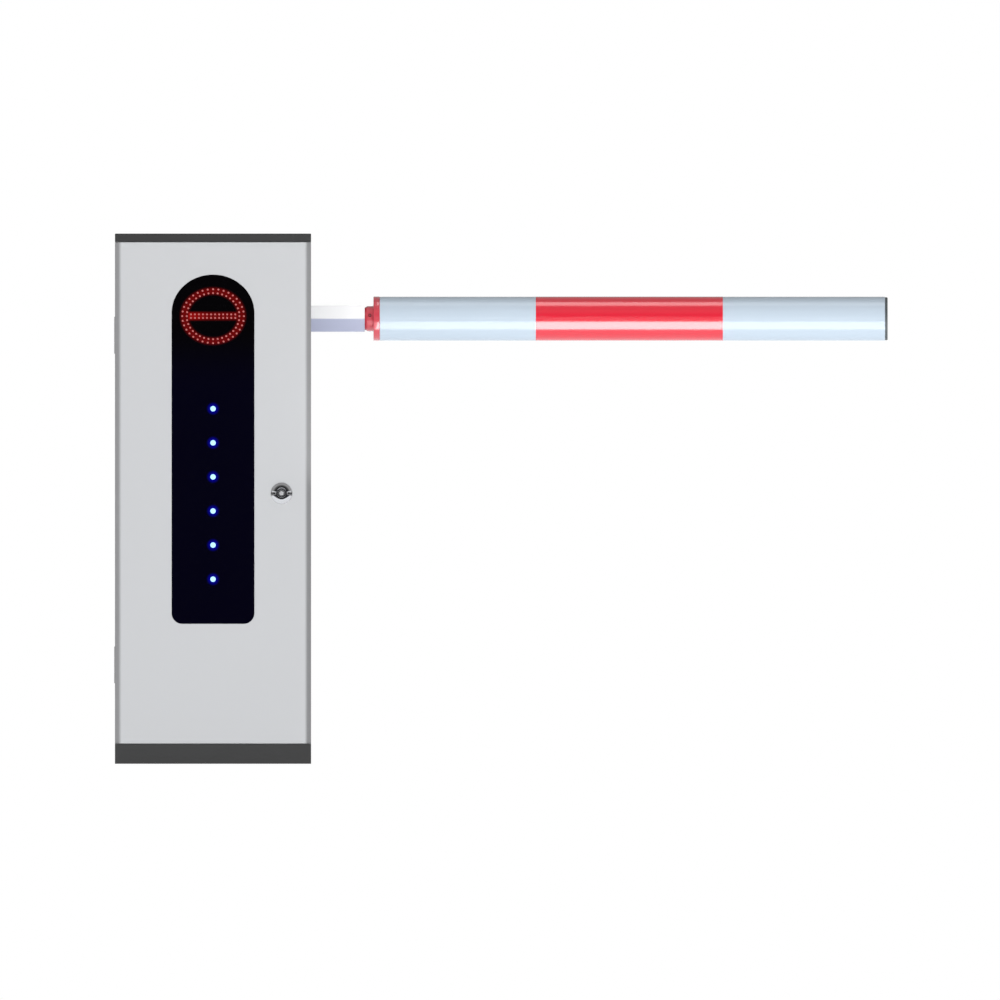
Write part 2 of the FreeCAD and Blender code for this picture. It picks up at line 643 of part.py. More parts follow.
def rocker_lever():
    """Two straight arms on one hub, for the connecting rod and for the springs, with their pins."""
    lever = rod_y(30, LEVER_Y, LEVER_END, 0, BOOM_Z)
    lever = lever.fuse(lever_arm(ROD_ARM, REST_ANGLE, 0, BOOM_Z, LEVER_HALF_W))
    lever = lever.fuse(lever_arm(SPRING_ARM, REST_ANGLE + math.pi, 0, BOOM_Z, LEVER_HALF_W))
    lever = lever.cut(rod_y(SHAFT_R + FIT, LEVER_Y, LEVER_END, 0, BOOM_Z))
    lever = lever.cut(rod_y(PIN_R + FIT, LEVER_Y, LEVER_END, ROCKER_PIN[0], ROCKER_PIN[1]))
    lever = lever.cut(rod_y(SPRING_PIN_R + FIT, LEVER_Y, LEVER_END, SPRING_PIN[0], SPRING_PIN[1]))
    spring_pin = rod_y(SPRING_PIN_R, SPRING_YS[0] - 7, SPRING_YS[1] + 7, SPRING_PIN[0], SPRING_PIN[1])
    return Part.makeCompound([lever, rod_pin(ROCKER_PIN[0], ROCKER_PIN[1]), spring_pin])


def arm_hub():
    hub = rod_y(30, HUB_Y0, HUB_Y1, 0, BOOM_Z).fuse(rod_y(55, HUB_Y1 - 12, HUB_Y1, 0, BOOM_Z))
    hub = hub.cut(rod_y(SHAFT_R + FIT, HUB_Y0, HUB_Y1, 0, BOOM_Z))
    for x, z in HUB_BOLTS:
        hub = hub.cut(rod_y(HUB_BOLT_R + FIT, HUB_Y1 - 12, HUB_Y1, x, z))
    return hub


def arm_bracket():
    """A clamp block on the hub that holds the hexagonal stub of the boom."""
    y1 = BOOM_Y + STUB_R + 8
    block = box(-BRACKET_X, BRACKET_X, HUB_Y1, y1, BOOM_Z - 36, BOOM_Z + 36)
    far = [e for e in block.Edges if e.BoundBox.YLength < 0.1 and e.BoundBox.YMin > BOOM_Y]
    block = block.makeFillet(5, far)
    hole = hexagon(STUB_R + FIT, (-BRACKET_X, BOOM_Y, BOOM_Z), (1, 0, 0), 2 * BRACKET_X, 30)
    block = block.cut(hole)
    for x, z in HUB_BOLTS:
        block = block.cut(rod_y(HUB_BOLT_R + FIT, HUB_Y1, HUB_Y1 + 14, x, z))
    return block


def arm_bracket_bolts():
    return Part.makeCompound([bolt_y(HUB_BOLT_R, x, z, HUB_Y1 - 12, HUB_Y1 + 13) for x, z in HUB_BOLTS])


def stub_inner(grow):
    """The corner radius of the stub's inside, grown outward by grow."""
    return STUB_R - STUB_WALL / math.cos(math.radians(30)) + grow


def boom_stub():
    """The hexagonal tube between the clamp block and the red coupling."""
    tube = hexagon(STUB_R, (STUB_X0, BOOM_Y, BOOM_Z), (1, 0, 0), NECK_X - STUB_X0, 30)
    return tube.cut(hexagon(stub_inner(0), (STUB_X0, BOOM_Y, BOOM_Z), (1, 0, 0), NECK_X - STUB_X0, 30))


def boom_spigot():
    """A round tube that joins stub and coupling, centred by two blocks in the stub."""
    x1 = TUBE_X + 75
    tube = rod_x(SPIGOT_R, NECK_X - 155, x1, BOOM_Y, BOOM_Z)
    pieces = [tube.cut(rod_x(SPIGOT_R - 3, NECK_X - 155, x1, BOOM_Y, BOOM_Z))]
    for x in (NECK_X - 150, NECK_X - 20):
        sleeve = hexagon(stub_inner(-FIT), (x, BOOM_Y, BOOM_Z), (1, 0, 0), 20, 30)
        pieces.append(sleeve.cut(rod_x(SPIGOT_R + FIT, x, x + 20, BOOM_Y, BOOM_Z)))
    return Part.makeCompound(pieces)


def boom_coupling():
    """The red coupling: a neck on the stub, a collar, and a plug inside the boom tube."""
    neck = rod_x(NECK_R, NECK_X, COLLAR_X, BOOM_Y, BOOM_Z)
    neck = neck.makeChamfer(2.5, [e for e in neck.Edges if e.BoundBox.XMax < NECK_X + 0.01])
    collar = rod_x(COLLAR_R, COLLAR_X, TUBE_X, BOOM_Y, BOOM_Z)
    collar = collar.makeFillet(1.2, [e for e in collar.Edges if e.BoundBox.XMax < COLLAR_X + 0.01])
    plug = rod_x(TUBE_R - TUBE_WALL - FIT, TUBE_X, TUBE_X + 80, BOOM_Y, BOOM_Z)
    body = neck.fuse(collar).fuse(plug)
    return body.cut(rod_x(SPIGOT_R + FIT, NECK_X, TUBE_X + 80, BOOM_Y, BOOM_Z))


def boom_tube():
    tube = rod_x(TUBE_R, TUBE_X, TUBE_END, BOOM_Y, BOOM_Z)
    return tube.cut(rod_x(TUBE_R - TUBE_WALL, TUBE_X, TUBE_END, BOOM_Y, BOOM_Z))


def red_band():
    """The red film wrapped round the middle of the tube."""
    band = rod_x(TUBE_R + BAND_T, BAND_X0, BAND_X1, BOOM_Y, BOOM_Z)
    return band.cut(rod_x(TUBE_R + FIT, BAND_X0, BAND_X1, BOOM_Y, BOOM_Z))


def boom_end_caps():
    """The cap in the boom's free end, and the plug in the stub's rear end."""
    cap = rod_x(TUBE_R - 0.9, TUBE_END, TUBE_END + END_CAP_T, BOOM_Y, BOOM_Z)
    cap = cap.makeFillet(1.5, [e for e in cap.Edges if e.BoundBox.XMin > TUBE_END + END_CAP_T - 0.01])
    skirt = rod_x(TUBE_R - TUBE_WALL - FIT, TUBE_END - 25, TUBE_END, BOOM_Y, BOOM_Z)
    cap = cap.fuse(skirt.cut(rod_x(TUBE_R - TUBE_WALL - 4, TUBE_END - 25, TUBE_END - 3, BOOM_Y, BOOM_Z)))
    plug = hexagon(STUB_R, (STUB_X0 - 3, BOOM_Y, BOOM_Z), (1, 0, 0), 3, 30)
    plug = plug.fuse(hexagon(stub_inner(-FIT), (STUB_X0, BOOM_Y, BOOM_Z), (1, 0, 0), 15, 30))
    return Part.makeCompound([cap, plug])


# ---- Springs and buffers -------------------------------------------------------------------

EYE_Z = ANCHOR_SHELF_Z + 30
EYE_R = 9.0
EYE_WIRE = 3.0
SHELF_T = 8.0


def spring_anchor():
    """A shelf on the plate with an adjustable eyebolt and its nut for each spring."""
    x = SPRING_PIN[0]
    y0 = SPRING_YS[0] - 16
    top = ANCHOR_SHELF_Z + SHELF_T
    shelf = box(x - 22, x + 22, y0, PLATE_Y, ANCHOR_SHELF_Z, top)
    shelf = shelf.fuse(box(x - 22, x + 22, PLATE_Y - 8, PLATE_Y, top, top + 42))
    pieces = []
    for y in SPRING_YS:
        shelf = shelf.cut(rod_z(FRAME_BOLT_R + FIT, ANCHOR_SHELF_Z, top, x, y))
        eye = Part.makeTorus(EYE_R, EYE_WIRE, V(x, y, EYE_Z), V(1, 0, 0))
        pieces.append(eye.fuse(rod_z(FRAME_BOLT_R, ANCHOR_SHELF_Z - 14, EYE_Z - EYE_R, x, y)))
        nut = hexagon(7.4, (x, y, ANCHOR_SHELF_Z - 6.5), (0, 0, 1), 6.5)
        pieces.append(nut.cut(rod_z(FRAME_BOLT_R + FIT, ANCHOR_SHELF_Z - 7, ANCHOR_SHELF_Z, x, y)))
    return Part.makeCompound([shelf] + pieces)


def wire_ring(x, y, z):
    return Part.makeTorus(SPRING_PIN_R + SPRING_WIRE + 0.6, SPRING_WIRE, V(x, y, z), V(0, 1, 0))


def balance_springs():
    """Two extension springs: a coil with a round hook at each end."""
    x = SPRING_PIN[0]
    hook = SPRING_PIN_R + SPRING_WIRE + 0.6
    low_hook = EYE_Z + EYE_R - EYE_WIRE - SPRING_WIRE - 0.5 + hook
    z0 = low_hook + hook + 10
    z1 = SPRING_PIN[1] - hook - 10
    turns = round((z1 - z0) / SPRING_PITCH)
    springs = []
    for y in SPRING_YS:
        helix = Part.makeHelix((z1 - z0) / turns, z1 - z0, SPRING_R)
        sides = [math.radians(60 * i) for i in range(7)]
        section = [V(SPRING_R + SPRING_WIRE * math.cos(a), 0, SPRING_WIRE * math.sin(a)) for a in sides]
        coil = Part.Wire(helix).makePipeShell([Part.makePolygon(section)], True, True)
        coil.translate(V(x, y, z0))
        ends = []
        low_end = (z0, low_hook, low_hook + hook, z0)
        top_end = (z1, SPRING_PIN[1], z1, SPRING_PIN[1] - hook)
        for z, hook_z, a, b in (low_end, top_end):
            ends += [rod_x(SPRING_WIRE, x, x + SPRING_R, y, z), rod_z(SPRING_WIRE, a, b, x, y)]
            ends += [wire_ring(x, y, hook_z), Part.makeSphere(SPRING_WIRE, V(x, y, z))]
        springs.append(coil.multiFuse(ends))
    return Part.makeCompound(springs)


def buffer_frame(side):
    """Ends of one stop's line, from the rocker arm's face outward; side is -1 low, 1 high."""
    along = V(math.cos(REST_ANGLE), 0, side * math.sin(-REST_ANGLE))
    out = V(-math.cos(REST_ANGLE), 0, side * math.sin(-REST_ANGLE))
    foot = V(0, LEVER_Y + LEVER_T / 2, BOOM_Z) + along * (ROD_ARM * 0.75)
    return foot + out * (LEVER_HALF_W + BUFFER_GAP), out


def buffers():
    """Rubber stops for the lowered and the raised boom."""
    stops = []
    for side in (-1, 1):
        foot, out = buffer_frame(side)
        stops.append(Part.makeCylinder(BUFFER_R, BUFFER_L, foot, out))
    return Part.makeCompound(stops)


def buffer_posts():
    """Square posts on the plate that the stops are fixed to."""
    posts = []
    half = 10.0
    for side in (-1, 1):
        foot, out = buffer_frame(side)
        centre = foot + out * (BUFFER_L + half)
        post = box(-half, half, LEVER_Y - 2, PLATE_Y, -half, half)
        post.rotate(V(0, 0, 0), V(0, 1, 0), 45)
        post.translate(V(centre.x, 0, centre.z))
        posts.append(post)
    return Part.makeCompound(posts)


# ---- Gearbox -------------------------------------------------------------------------------

def gearbox_housing():
    box_out = box(GEARBOX_X0, GEARBOX_X1, GEARBOX_FRONT, PLATE_Y, GEARBOX_Z0, GEARBOX_Z1)
    box_out = box_out.makeFillet(4, [e for e in box_out.Edges if e.BoundBox.YLength > 10])
    w = GEARBOX_WALL
    room = box(GEARBOX_X0 + w, GEARBOX_X1 - w, GEARBOX_FRONT, GEARBOX_BACK_FACE,
               GEARBOX_Z0 + w, GEARBOX_Z1 - w)
    body = box_out.cut(room)
    body = body.cut(rod_y(OUTPUT_R + 4, GEARBOX_BACK_FACE, PLATE_Y, 0, GEAR_Z))
    body = body.cut(rod_z(WORM_SHAFT_R + 8, GEARBOX_Z0, GEARBOX_Z1, WORM_X, GEAR_Y))
    for x, z in GEARBOX_BOLTS:
        body = body.cut(rod_y(FRAME_BOLT_R + FIT, PLATE_Y - 21, PLATE_Y, x, z))
        body = body.cut(rod_y(2.5 + FIT, GEARBOX_FRONT, GEARBOX_FRONT + 13, x, z))
    return body


def gearbox_cover():
    cover = box(GEARBOX_X0, GEARBOX_X1, COVER_Y, GEARBOX_FRONT, GEARBOX_Z0, GEARBOX_Z1)
    cover = cover.makeFillet(4, [e for e in cover.Edges if e.BoundBox.YLength > 5])
    cover = cover.cut(rod_y(OUTPUT_R + 4, COVER_Y, GEARBOX_FRONT, 0, GEAR_Z))
    for x, z in GEARBOX_BOLTS:
        cover = cover.cut(rod_y(2.5 + FIT, COVER_Y, GEARBOX_FRONT, x, z))
    return cover


def gearbox_bushes():
    """The bronze bushes of the output shaft and of the worm shaft."""
    spans = ((COVER_Y, GEARBOX_FRONT), (GEARBOX_BACK_FACE, PLATE_Y))
    bushes = [ring_y(OUTPUT_R + 4 - FIT, OUTPUT_R + RUN, a, b, 0, GEAR_Z) for a, b in spans]
    r = WORM_SHAFT_R
    for z in (GEARBOX_Z0, GEARBOX_Z1 - GEARBOX_WALL):
        bushes.append(ring_z(r + 8 - FIT, r + RUN, z, z + GEARBOX_WALL, WORM_X, GEAR_Y))
    return Part.makeCompound(bushes)


def involute(base, r):
    """Polar angle of the involute of a base circle at radius r."""
    t = math.sqrt(max(0.0, (r / base) ** 2 - 1))
    return t - math.atan(t)


def worm_wheel():
    """A wheel with slanted involute teeth; a tooth space faces the worm when at rest."""
    tip = PITCH_R + MODULE
    root = PITCH_R - 1.25 * MODULE
    base = PITCH_R * math.cos(PRESSURE)
    lead = math.atan(WORM_PITCH / (2 * math.pi * WORM_PITCH_R))
    half = math.pi / (2 * TEETH)
    flank = []
    for i in range(6):
        r = root + (tip + 1 - root) * i / 5
        a = half + involute(base, max(r, base)) - involute(base, PITCH_R)
        flank.append((r, a))
    y0 = GEAR_Y - WHEEL_W / 2 - 1
    length = WHEEL_W + 2
    rise = length * math.tan(lead)
    points = [V(r * math.cos(a), y0, r * math.sin(a) + rise / 2) for r, a in flank]
    points += [V(r * math.cos(a), y0, -r * math.sin(a) + rise / 2) for r, a in reversed(flank)]
    space = Part.Face(Part.makePolygon(points + points[:1])).extrude(V(0, length, -rise))
    spaces = []
    for i in range(TEETH):
        turned = space.copy()
        turned.rotate(V(0, 0, 0), V(0, 1, 0), 360.0 * i / TEETH)
        spaces.append(turned)
    y1 = GEAR_Y + WHEEL_W / 2
    wheel = rod_y(tip, GEAR_Y - WHEEL_W / 2, y1, 0, 0).cut(Part.makeCompound(spaces))
    hub = rod_y(22, GEAR_Y - WHEEL_W / 2 - 12, GEARBOX_BACK_FACE - 1, 0, 0)
    wheel = wheel.fuse(hub).cut(rod_y(OUTPUT_R + FIT, COVER_Y, PLATE_Y, 0, 0))
    wheel.translate(V(0, 0, GEAR_Z))
    return wheel


def output_shaft():
    return rod_y(OUTPUT_R, LEVER_Y, PLATE_Y - 1, 0, GEAR_Z)


def crank_lever():
    """The gearbox's crank with its pin."""
    lever = rod_y(22, LEVER_Y, LEVER_END, 0, GEAR_Z)
    lever = lever.fuse(lever_arm(ROD_ARM, REST_ANGLE, 0, GEAR_Z, LEVER_HALF_W))
    lever = lever.cut(rod_y(OUTPUT_R + FIT, LEVER_Y, LEVER_END, 0, GEAR_Z))
    lever = lever.cut(rod_y(PIN_R + FIT, LEVER_Y, LEVER_END, CRANK_PIN[0], CRANK_PIN[1]))
    return Part.makeCompound([lever, rod_pin(CRANK_PIN[0], CRANK_PIN[1])])


def rod_ends():
    """Two threaded eyes of the connecting rod."""
    y = (ROD_Y0 + ROD_Y1) / 2
    ends = []
    for (x, z), way in ((CRANK_PIN, 1), (ROCKER_PIN, -1)):
        eye = rod_y(15, ROD_Y0, ROD_Y1, x, z)
        a, b = sorted((z + way * 12, z + way * 60))
        eye = eye.fuse(rod_z(6, a, b, x, y))
        ends.append(eye.cut(rod_y(PIN_R + RUN, ROD_Y0, ROD_Y1, x, z)))
    return Part.makeCompound(ends)


def rod_link():
    """The hexagonal turnbuckle between the rod ends, with its two lock nuts."""
    x, z0 = CRANK_PIN
    y = (ROD_Y0 + ROD_Y1) / 2
    z0 += 38
    z1 = ROCKER_PIN[1] - 38
    bar = hexagon(11, (x, y, z0), (0, 0, 1), z1 - z0)
    bar = bar.cut(rod_z(6 + FIT, z0, z0 + 30, x, y)).cut(rod_z(6 + FIT, z1 - 30, z1, x, y))
    pieces = [bar]
    for z in (z0 - 7, z1):
        pieces.append(hexagon(11, (x, y, z), (0, 0, 1), 7).cut(rod_z(6 + FIT, z, z + 7, x, y)))
    return Part.makeCompound(pieces)


def worm_shaft():
    """A single-start worm on the motor's shaft, which also carries the hand wheel."""
    root = WORM_PITCH_R - 1.25 * MODULE
    tip = WORM_PITCH_R + MODULE
    bite = 0.4
    half = WORM_PITCH / 4 - THREAD_GAP
    slope = math.tan(PRESSURE)
    low = half + (WORM_PITCH_R - root + bite) * slope
    high = half - (tip - WORM_PITCH_R) * slope
    turns = 11
    helix = Part.makeHelix(WORM_PITCH, WORM_PITCH * turns, root)
    shape = [V(root - bite, 0, -low), V(tip, 0, -high), V(tip, 0, high), V(root - bite, 0, low)]
    thread = Part.Wire(helix).makePipeShell([Part.makePolygon(shape + shape[:1])], True, True)
    thread.translate(V(WORM_X, GEAR_Y, GEAR_Z - WORM_PITCH * turns / 2))
    core = rod_z(root, GEAR_Z - 35, GEAR_Z + 35, WORM_X, GEAR_Y)
    worm = core.fuse(thread.common(rod_z(tip + 5, GEAR_Z - 35, GEAR_Z + 35, WORM_X, GEAR_Y)))
    return worm.fuse(rod_z(WORM_SHAFT_R, MOTOR_Z0 + 6, GEARBOX_Z1 + 45, WORM_X, GEAR_Y))


def hand_wheel():
    """A lobed wheel for raising the boom by hand in a power cut."""
    z0 = GEARBOX_Z1 + 22
    wheel = rod_z(HAND_WHEEL_R - 3, z0, z0 + 14, WORM_X, GEAR_Y)
    for i in range(8):
        a = math.radians(45 * i)
        x = WORM_X + (HAND_WHEEL_R - 3) * math.cos(a)
        y = GEAR_Y + (HAND_WHEEL_R - 3) * math.sin(a)
        wheel = wheel.fuse(rod_z(3, z0, z0 + 14, x, y))
    wheel = wheel.fuse(rod_z(13, z0 - 8, z0, WORM_X, GEAR_Y))
    return wheel.cut(rod_z(WORM_SHAFT_R + FIT, z0 - 8, z0 + 14, WORM_X, GEAR_Y))


# ---- Motor ---------------------------------------------------------------------------------

def motor_body():
    """The finned motor case below the gearbox, its stator and its terminal box."""
    z0 = MOTOR_Z0 + 14
    body = rod_z(MOTOR_R - 3, z0, GEARBOX_Z0 - 10, WORM_X, GEAR_Y)
    fins = []
    for i in range(24):
        fin = box(0, MOTOR_R, -1, 1, z0 + 4, GEARBOX_Z0 - 16)
        fin.rotate(V(0, 0, 0), V(0, 0, 1), 15 * i)
        fin.translate(V(WORM_X, GEAR_Y, 0))
        fins.append(fin)
    body = body.multiFuse(fins).fuse(rod_z(MOTOR_R, GEARBOX_Z0 - 10, GEARBOX_Z0, WORM_X, GEAR_Y))
    body = body.cut(rod_z(MOTOR_R - 7, z0, GEARBOX_Z0 - 16, WORM_X, GEAR_Y))
    body = body.cut(rod_z(WORM_SHAFT_R + 2, GEARBOX_Z0 - 16, GEARBOX_Z0, WORM_X, GEAR_Y))
    stator = ring_z(MOTOR_R - 7 - FIT, ROTOR_R + 0.5, MOTOR_Z0 + 50, MOTOR_Z0 + 130, WORM_X, GEAR_Y)
    x0 = WORM_X + MOTOR_R - 6
    z = MOTOR_Z0 + 110
    case = box(x0, x0 + 34, GEAR_Y - 20, GEAR_Y + 20, z, z + 50)
    case = case.cut(rod_z(MOTOR_R + 0.1, z, z + 50, WORM_X, GEAR_Y))
    return Part.makeCompound([body, stator, case])


def motor_rotor():
    return ring_z(ROTOR_R, WORM_SHAFT_R + FIT, MOTOR_Z0 + 48, MOTOR_Z0 + 132, WORM_X, GEAR_Y)


def motor_end_cap():
    cap = rod_z(MOTOR_R, MOTOR_Z0, MOTOR_Z0 + 14, WORM_X, GEAR_Y)
    cap = cap.makeFillet(4, [e for e in cap.Edges if e.BoundBox.ZMax < MOTOR_Z0 + 0.01])
    return cap.cut(rod_z(WORM_SHAFT_R + RUN, MOTOR_Z0 + 5, MOTOR_Z0 + 14, WORM_X, GEAR_Y))


# ---- Electrics -----------------------------------------------------------------------------

BOX_X0 = -148.0
BOX_X1 = -66.0
BOX_Z0 = 290.0
BOX_Z1 = 420.0
BOX_DEPTH = 50.0
RAIL_Z = 195.0
RAIL_FACE = PLATE_Y - 7.5
BREAKER_X = -112.0


def control_box():
    y0 = PLATE_Y - BOX_DEPTH
    case = box(BOX_X0, BOX_X1, y0, PLATE_Y, BOX_Z0, BOX_Z1)
    case = case.cut(box(BOX_X0 + 2.5, BOX_X1 - 2.5, y0, PLATE_Y - 3, BOX_Z0 + 2.5, BOX_Z1 - 2.5))
    for x, z in corners(30, 52, (BOX_X0 + BOX_X1) / 2, (BOX_Z0 + BOX_Z1) / 2):
        case = case.fuse(rod_y(4, PLATE_Y - 15, PLATE_Y - 3, x, z))
    return case


def control_lid():
    y1 = PLATE_Y - BOX_DEPTH
    lid = box(BOX_X0, BOX_X1, y1 - 3, y1, BOX_Z0, BOX_Z1)
    inner = box(BOX_X0 + 3, BOX_X1 - 3, y1, y1 + 4, BOX_Z0 + 3, BOX_Z1 - 3)
    return lid.fuse(inner.cut(box(BOX_X0 + 5, BOX_X1 - 5, y1, y1 + 4, BOX_Z0 + 5, BOX_Z1 - 5)))


def control_board():
    y1 = PLATE_Y - 15
    board = box(BOX_X0 + 6, BOX_X1 - 6, y1 - 1.6, y1, BOX_Z0 + 7, BOX_Z1 - 7)
    for i in range(4):
        relay_x = BOX_X0 + 12 + 16 * i
        board = board.fuse(box(relay_x, relay_x + 12, y1 - 15, y1 - 1.6, BOX_Z0 + 14, BOX_Z0 + 34))
    chip = box(BOX_X0 + 22, BOX_X0 + 48, y1 - 4, y1 - 1.6, BOX_Z0 + 70, BOX_Z0 + 84)
    return board.fuse(chip)


def din_rail():
    half = 12.5
    rail = box(-140, 70, PLATE_Y - 1, PLATE_Y, RAIL_Z - half, RAIL_Z + half)
    for side in (-1, 1):
        a, b = sorted((side * (half - 1), side * half))
        c, d = sorted((side * (half - 1), side * 17.5))
        rail = rail.fuse(box(-140, 70, RAIL_FACE, PLATE_Y, RAIL_Z + a, RAIL_Z + b))
        rail = rail.fuse(box(-140, 70, RAIL_FACE, RAIL_FACE + 1, RAIL_Z + c, RAIL_Z + d))
    return rail


TOGGLE_Y = RAIL_FACE - 63.0


def circuit_breaker():
    body = box(BREAKER_X - 18, BREAKER_X + 18, RAIL_FACE - 58, RAIL_FACE, RAIL_Z - 42, RAIL_Z + 42)
    nose = box(BREAKER_X - 18, BREAKER_X + 18, RAIL_FACE - 70, RAIL_FACE - 58, RAIL_Z - 22, RAIL_Z + 22)
    slot = box(BREAKER_X - 12.3, BREAKER_X + 12.3, RAIL_FACE - 70, TOGGLE_Y + 5.5, RAIL_Z - 9, RAIL_Z + 9)
    return body.fuse(nose).cut(slot)


def breaker_toggle():
    """A rocking toggle; it rests 20 degrees below level and lifts 40 degrees."""
    toggle = rod_x(5, BREAKER_X - 12, BREAKER_X + 12, TOGGLE_Y, RAIL_Z)
    lever = box(BREAKER_X - 10, BREAKER_X + 10, TOGGLE_Y - 17, TOGGLE_Y, RAIL_Z - 2, RAIL_Z + 2)
    toggle = toggle.fuse(lever)
    toggle.rotate(V(BREAKER_X, TOGGLE_Y, RAIL_Z), V(1, 0, 0), 20)
    return toggle


def power_supply():
    case = box(-84, -24, RAIL_FACE - 76, RAIL_FACE, RAIL_Z - 45, RAIL_Z + 45)
    for i in range(7):
        z = RAIL_Z - 30 + 10 * i
        case = case.cut(box(-76, -32, RAIL_FACE - 76, RAIL_FACE - 74, z, z + 3))
    return case


def terminal_strip():
    blocks = []
    for i in range(10):
        x = -14 + 7 * i
        block = box(x, x + 6.8, RAIL_FACE - 42, RAIL_FACE, RAIL_Z - 24, RAIL_Z + 24)
        for z in (RAIL_Z - 17, RAIL_Z + 17):
            block = block.cut(rod_y(2.2, RAIL_FACE - 42, RAIL_FACE - 34, x + 3.4, z))
        blocks.append(block)
    return Part.makeCompound(blocks)


NODES = [
    base_frame, cabinet_shell, top_cap, cabinet_screws, door_seal, hinge_fixed_leaves,
    hinge_moving_leaves, door_panel, display_panel, display_mounts, red_leds, blue_leds, led_board,
    lock_housing, lock_core, lock_post, lock_cam,
    mechanism_plate, frame_brackets, bearing_housings, bearing_outer_rings, bearing_inner_rings,
    mechanism_bolts, shaft_seal, main_shaft, rocker_lever, arm_hub, arm_bracket, arm_bracket_bolts,
    boom_stub, boom_spigot, boom_coupling, boom_tube, red_band, boom_end_caps,
    spring_anchor, balance_springs, buffers, buffer_posts,
    gearbox_housing, gearbox_cover, gearbox_bushes, worm_wheel, output_shaft, crank_lever,
    rod_ends, rod_link, worm_shaft, hand_wheel, motor_body, motor_rotor, motor_end_cap,
    control_box, control_lid, control_board, din_rail, circuit_breaker, breaker_toggle,
    power_supply, terminal_strip,
]

for make in NODES:
    make().exportStep("parts/%s.step" % make.__name__)
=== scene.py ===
# Parking barrier gate: the looks of its cabinet, drive and boom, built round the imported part.
# Metres. +X runs along the lowered boom, +Y to the rear of the cabinet, +Z up.
import bpy
import json
import math
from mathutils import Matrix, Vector

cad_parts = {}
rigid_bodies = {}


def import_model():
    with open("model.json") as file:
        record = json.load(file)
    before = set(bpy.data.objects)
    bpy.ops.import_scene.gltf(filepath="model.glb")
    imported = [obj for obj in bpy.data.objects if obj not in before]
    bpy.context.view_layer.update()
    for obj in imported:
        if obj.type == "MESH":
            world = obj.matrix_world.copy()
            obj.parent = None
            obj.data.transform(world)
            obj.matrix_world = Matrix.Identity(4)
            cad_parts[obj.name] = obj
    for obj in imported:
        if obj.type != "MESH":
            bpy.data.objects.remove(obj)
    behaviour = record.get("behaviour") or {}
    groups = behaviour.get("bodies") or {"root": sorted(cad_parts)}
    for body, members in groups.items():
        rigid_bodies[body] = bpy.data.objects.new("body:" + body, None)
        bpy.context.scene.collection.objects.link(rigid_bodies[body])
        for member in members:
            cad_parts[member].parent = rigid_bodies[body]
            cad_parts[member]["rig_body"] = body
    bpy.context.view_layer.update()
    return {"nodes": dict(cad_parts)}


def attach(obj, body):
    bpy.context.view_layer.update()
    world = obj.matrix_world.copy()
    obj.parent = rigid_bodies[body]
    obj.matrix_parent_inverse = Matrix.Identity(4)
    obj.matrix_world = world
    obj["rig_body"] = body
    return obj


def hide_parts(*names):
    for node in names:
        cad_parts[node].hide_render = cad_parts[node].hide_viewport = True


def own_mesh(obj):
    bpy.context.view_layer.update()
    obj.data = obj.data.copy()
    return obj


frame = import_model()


# ---- Studio ----------------------------------------------------------------------------------
# A white surround and a pale floor, a broad soft light in front, weaker ones behind each
# side, and two panels that only show as reflections in the gloss of the boom. What faces the
# display from the front is dim in reflections, so its acrylic stays black.

CAMERA_AT = (0.5223, -6.0, 0.4801)
VIEW_WIDTH = 1.82
SKY_LEVEL = 0.41
FLOOR_GLOW = 0.68


class Link:
    """A node's output. Arithmetic on it adds Math nodes, so a pattern reads as a formula."""

    def __init__(self, nodes, socket):
        self.nodes = nodes
        self.socket = socket

    def math(self, operation, *values):
        return self.nodes.node("ShaderNodeMath", {"operation": operation}, dict(enumerate(values)))

    def repeat(self, reach):
        """Runs from 0 to reach and back again, over and over."""
        return self.math("PINGPONG", self, reach)

    def __add__(self, other):
        return self.math("ADD", self, other)

    def __radd__(self, other):
        return self.math("ADD", other, self)

    def __sub__(self, other):
        return self.math("SUBTRACT", self, other)

    def __rsub__(self, other):
        return self.math("SUBTRACT", other, self)

    def __mul__(self, other):
        return self.math("MULTIPLY", self, other)

    def __rmul__(self, other):
        return self.math("MULTIPLY", other, self)

    def __truediv__(self, other):
        return self.math("DIVIDE", self, other)

    def __rtruediv__(self, other):
        return self.math("DIVIDE", other, self)

    def __pow__(self, other):
        return self.math("POWER", self, other)

    def __abs__(self):
        return self.math("ABSOLUTE", self)


class Nodes:
    """A node tree that is written from Python."""

    def __init__(self, tree):
        self.tree = tree

    def node(self, kind, settings=None, sockets=None, out=0):
        """One node: its settings, then its sockets' values or links; returns its output."""
        made = self.tree.nodes.new(kind)
        for name, value in (settings or {}).items():
            setattr(made, name, value)
        for name, value in (sockets or {}).items():
            if isinstance(value, Link):
                self.tree.links.new(value.socket, made.inputs[name])
            else:
                made.inputs[name].default_value = value
        return Link(self, made.outputs[out])

    def fade(self, value, low, high):
        """0 up to low and 1 from high on, with a smooth step between; low may be the larger."""
        return self.node(
            "ShaderNodeMapRange",
            {"interpolation_type": "SMOOTHSTEP"},
            {"Value": value, "From Min": low, "From Max": high},
        )

    def axes(self, vector):
        """The three numbers of a vector."""
        parts = self.node("ShaderNodeSeparateXYZ", None, {0: vector})
        outputs = parts.socket.node.outputs
        return [Link(self, outputs[i]) for i in range(3)]


camera_data = bpy.data.cameras.new("camera")
camera_data.type = "ORTHO"
camera_data.ortho_scale = VIEW_WIDTH
camera = bpy.data.objects.new("camera", camera_data)
camera.location = CAMERA_AT
camera.rotation_euler = (math.radians(90), 0, 0)
bpy.context.scene.collection.objects.link(camera)
bpy.context.scene.camera = camera
bpy.context.scene.view_settings.view_transform = "Standard"

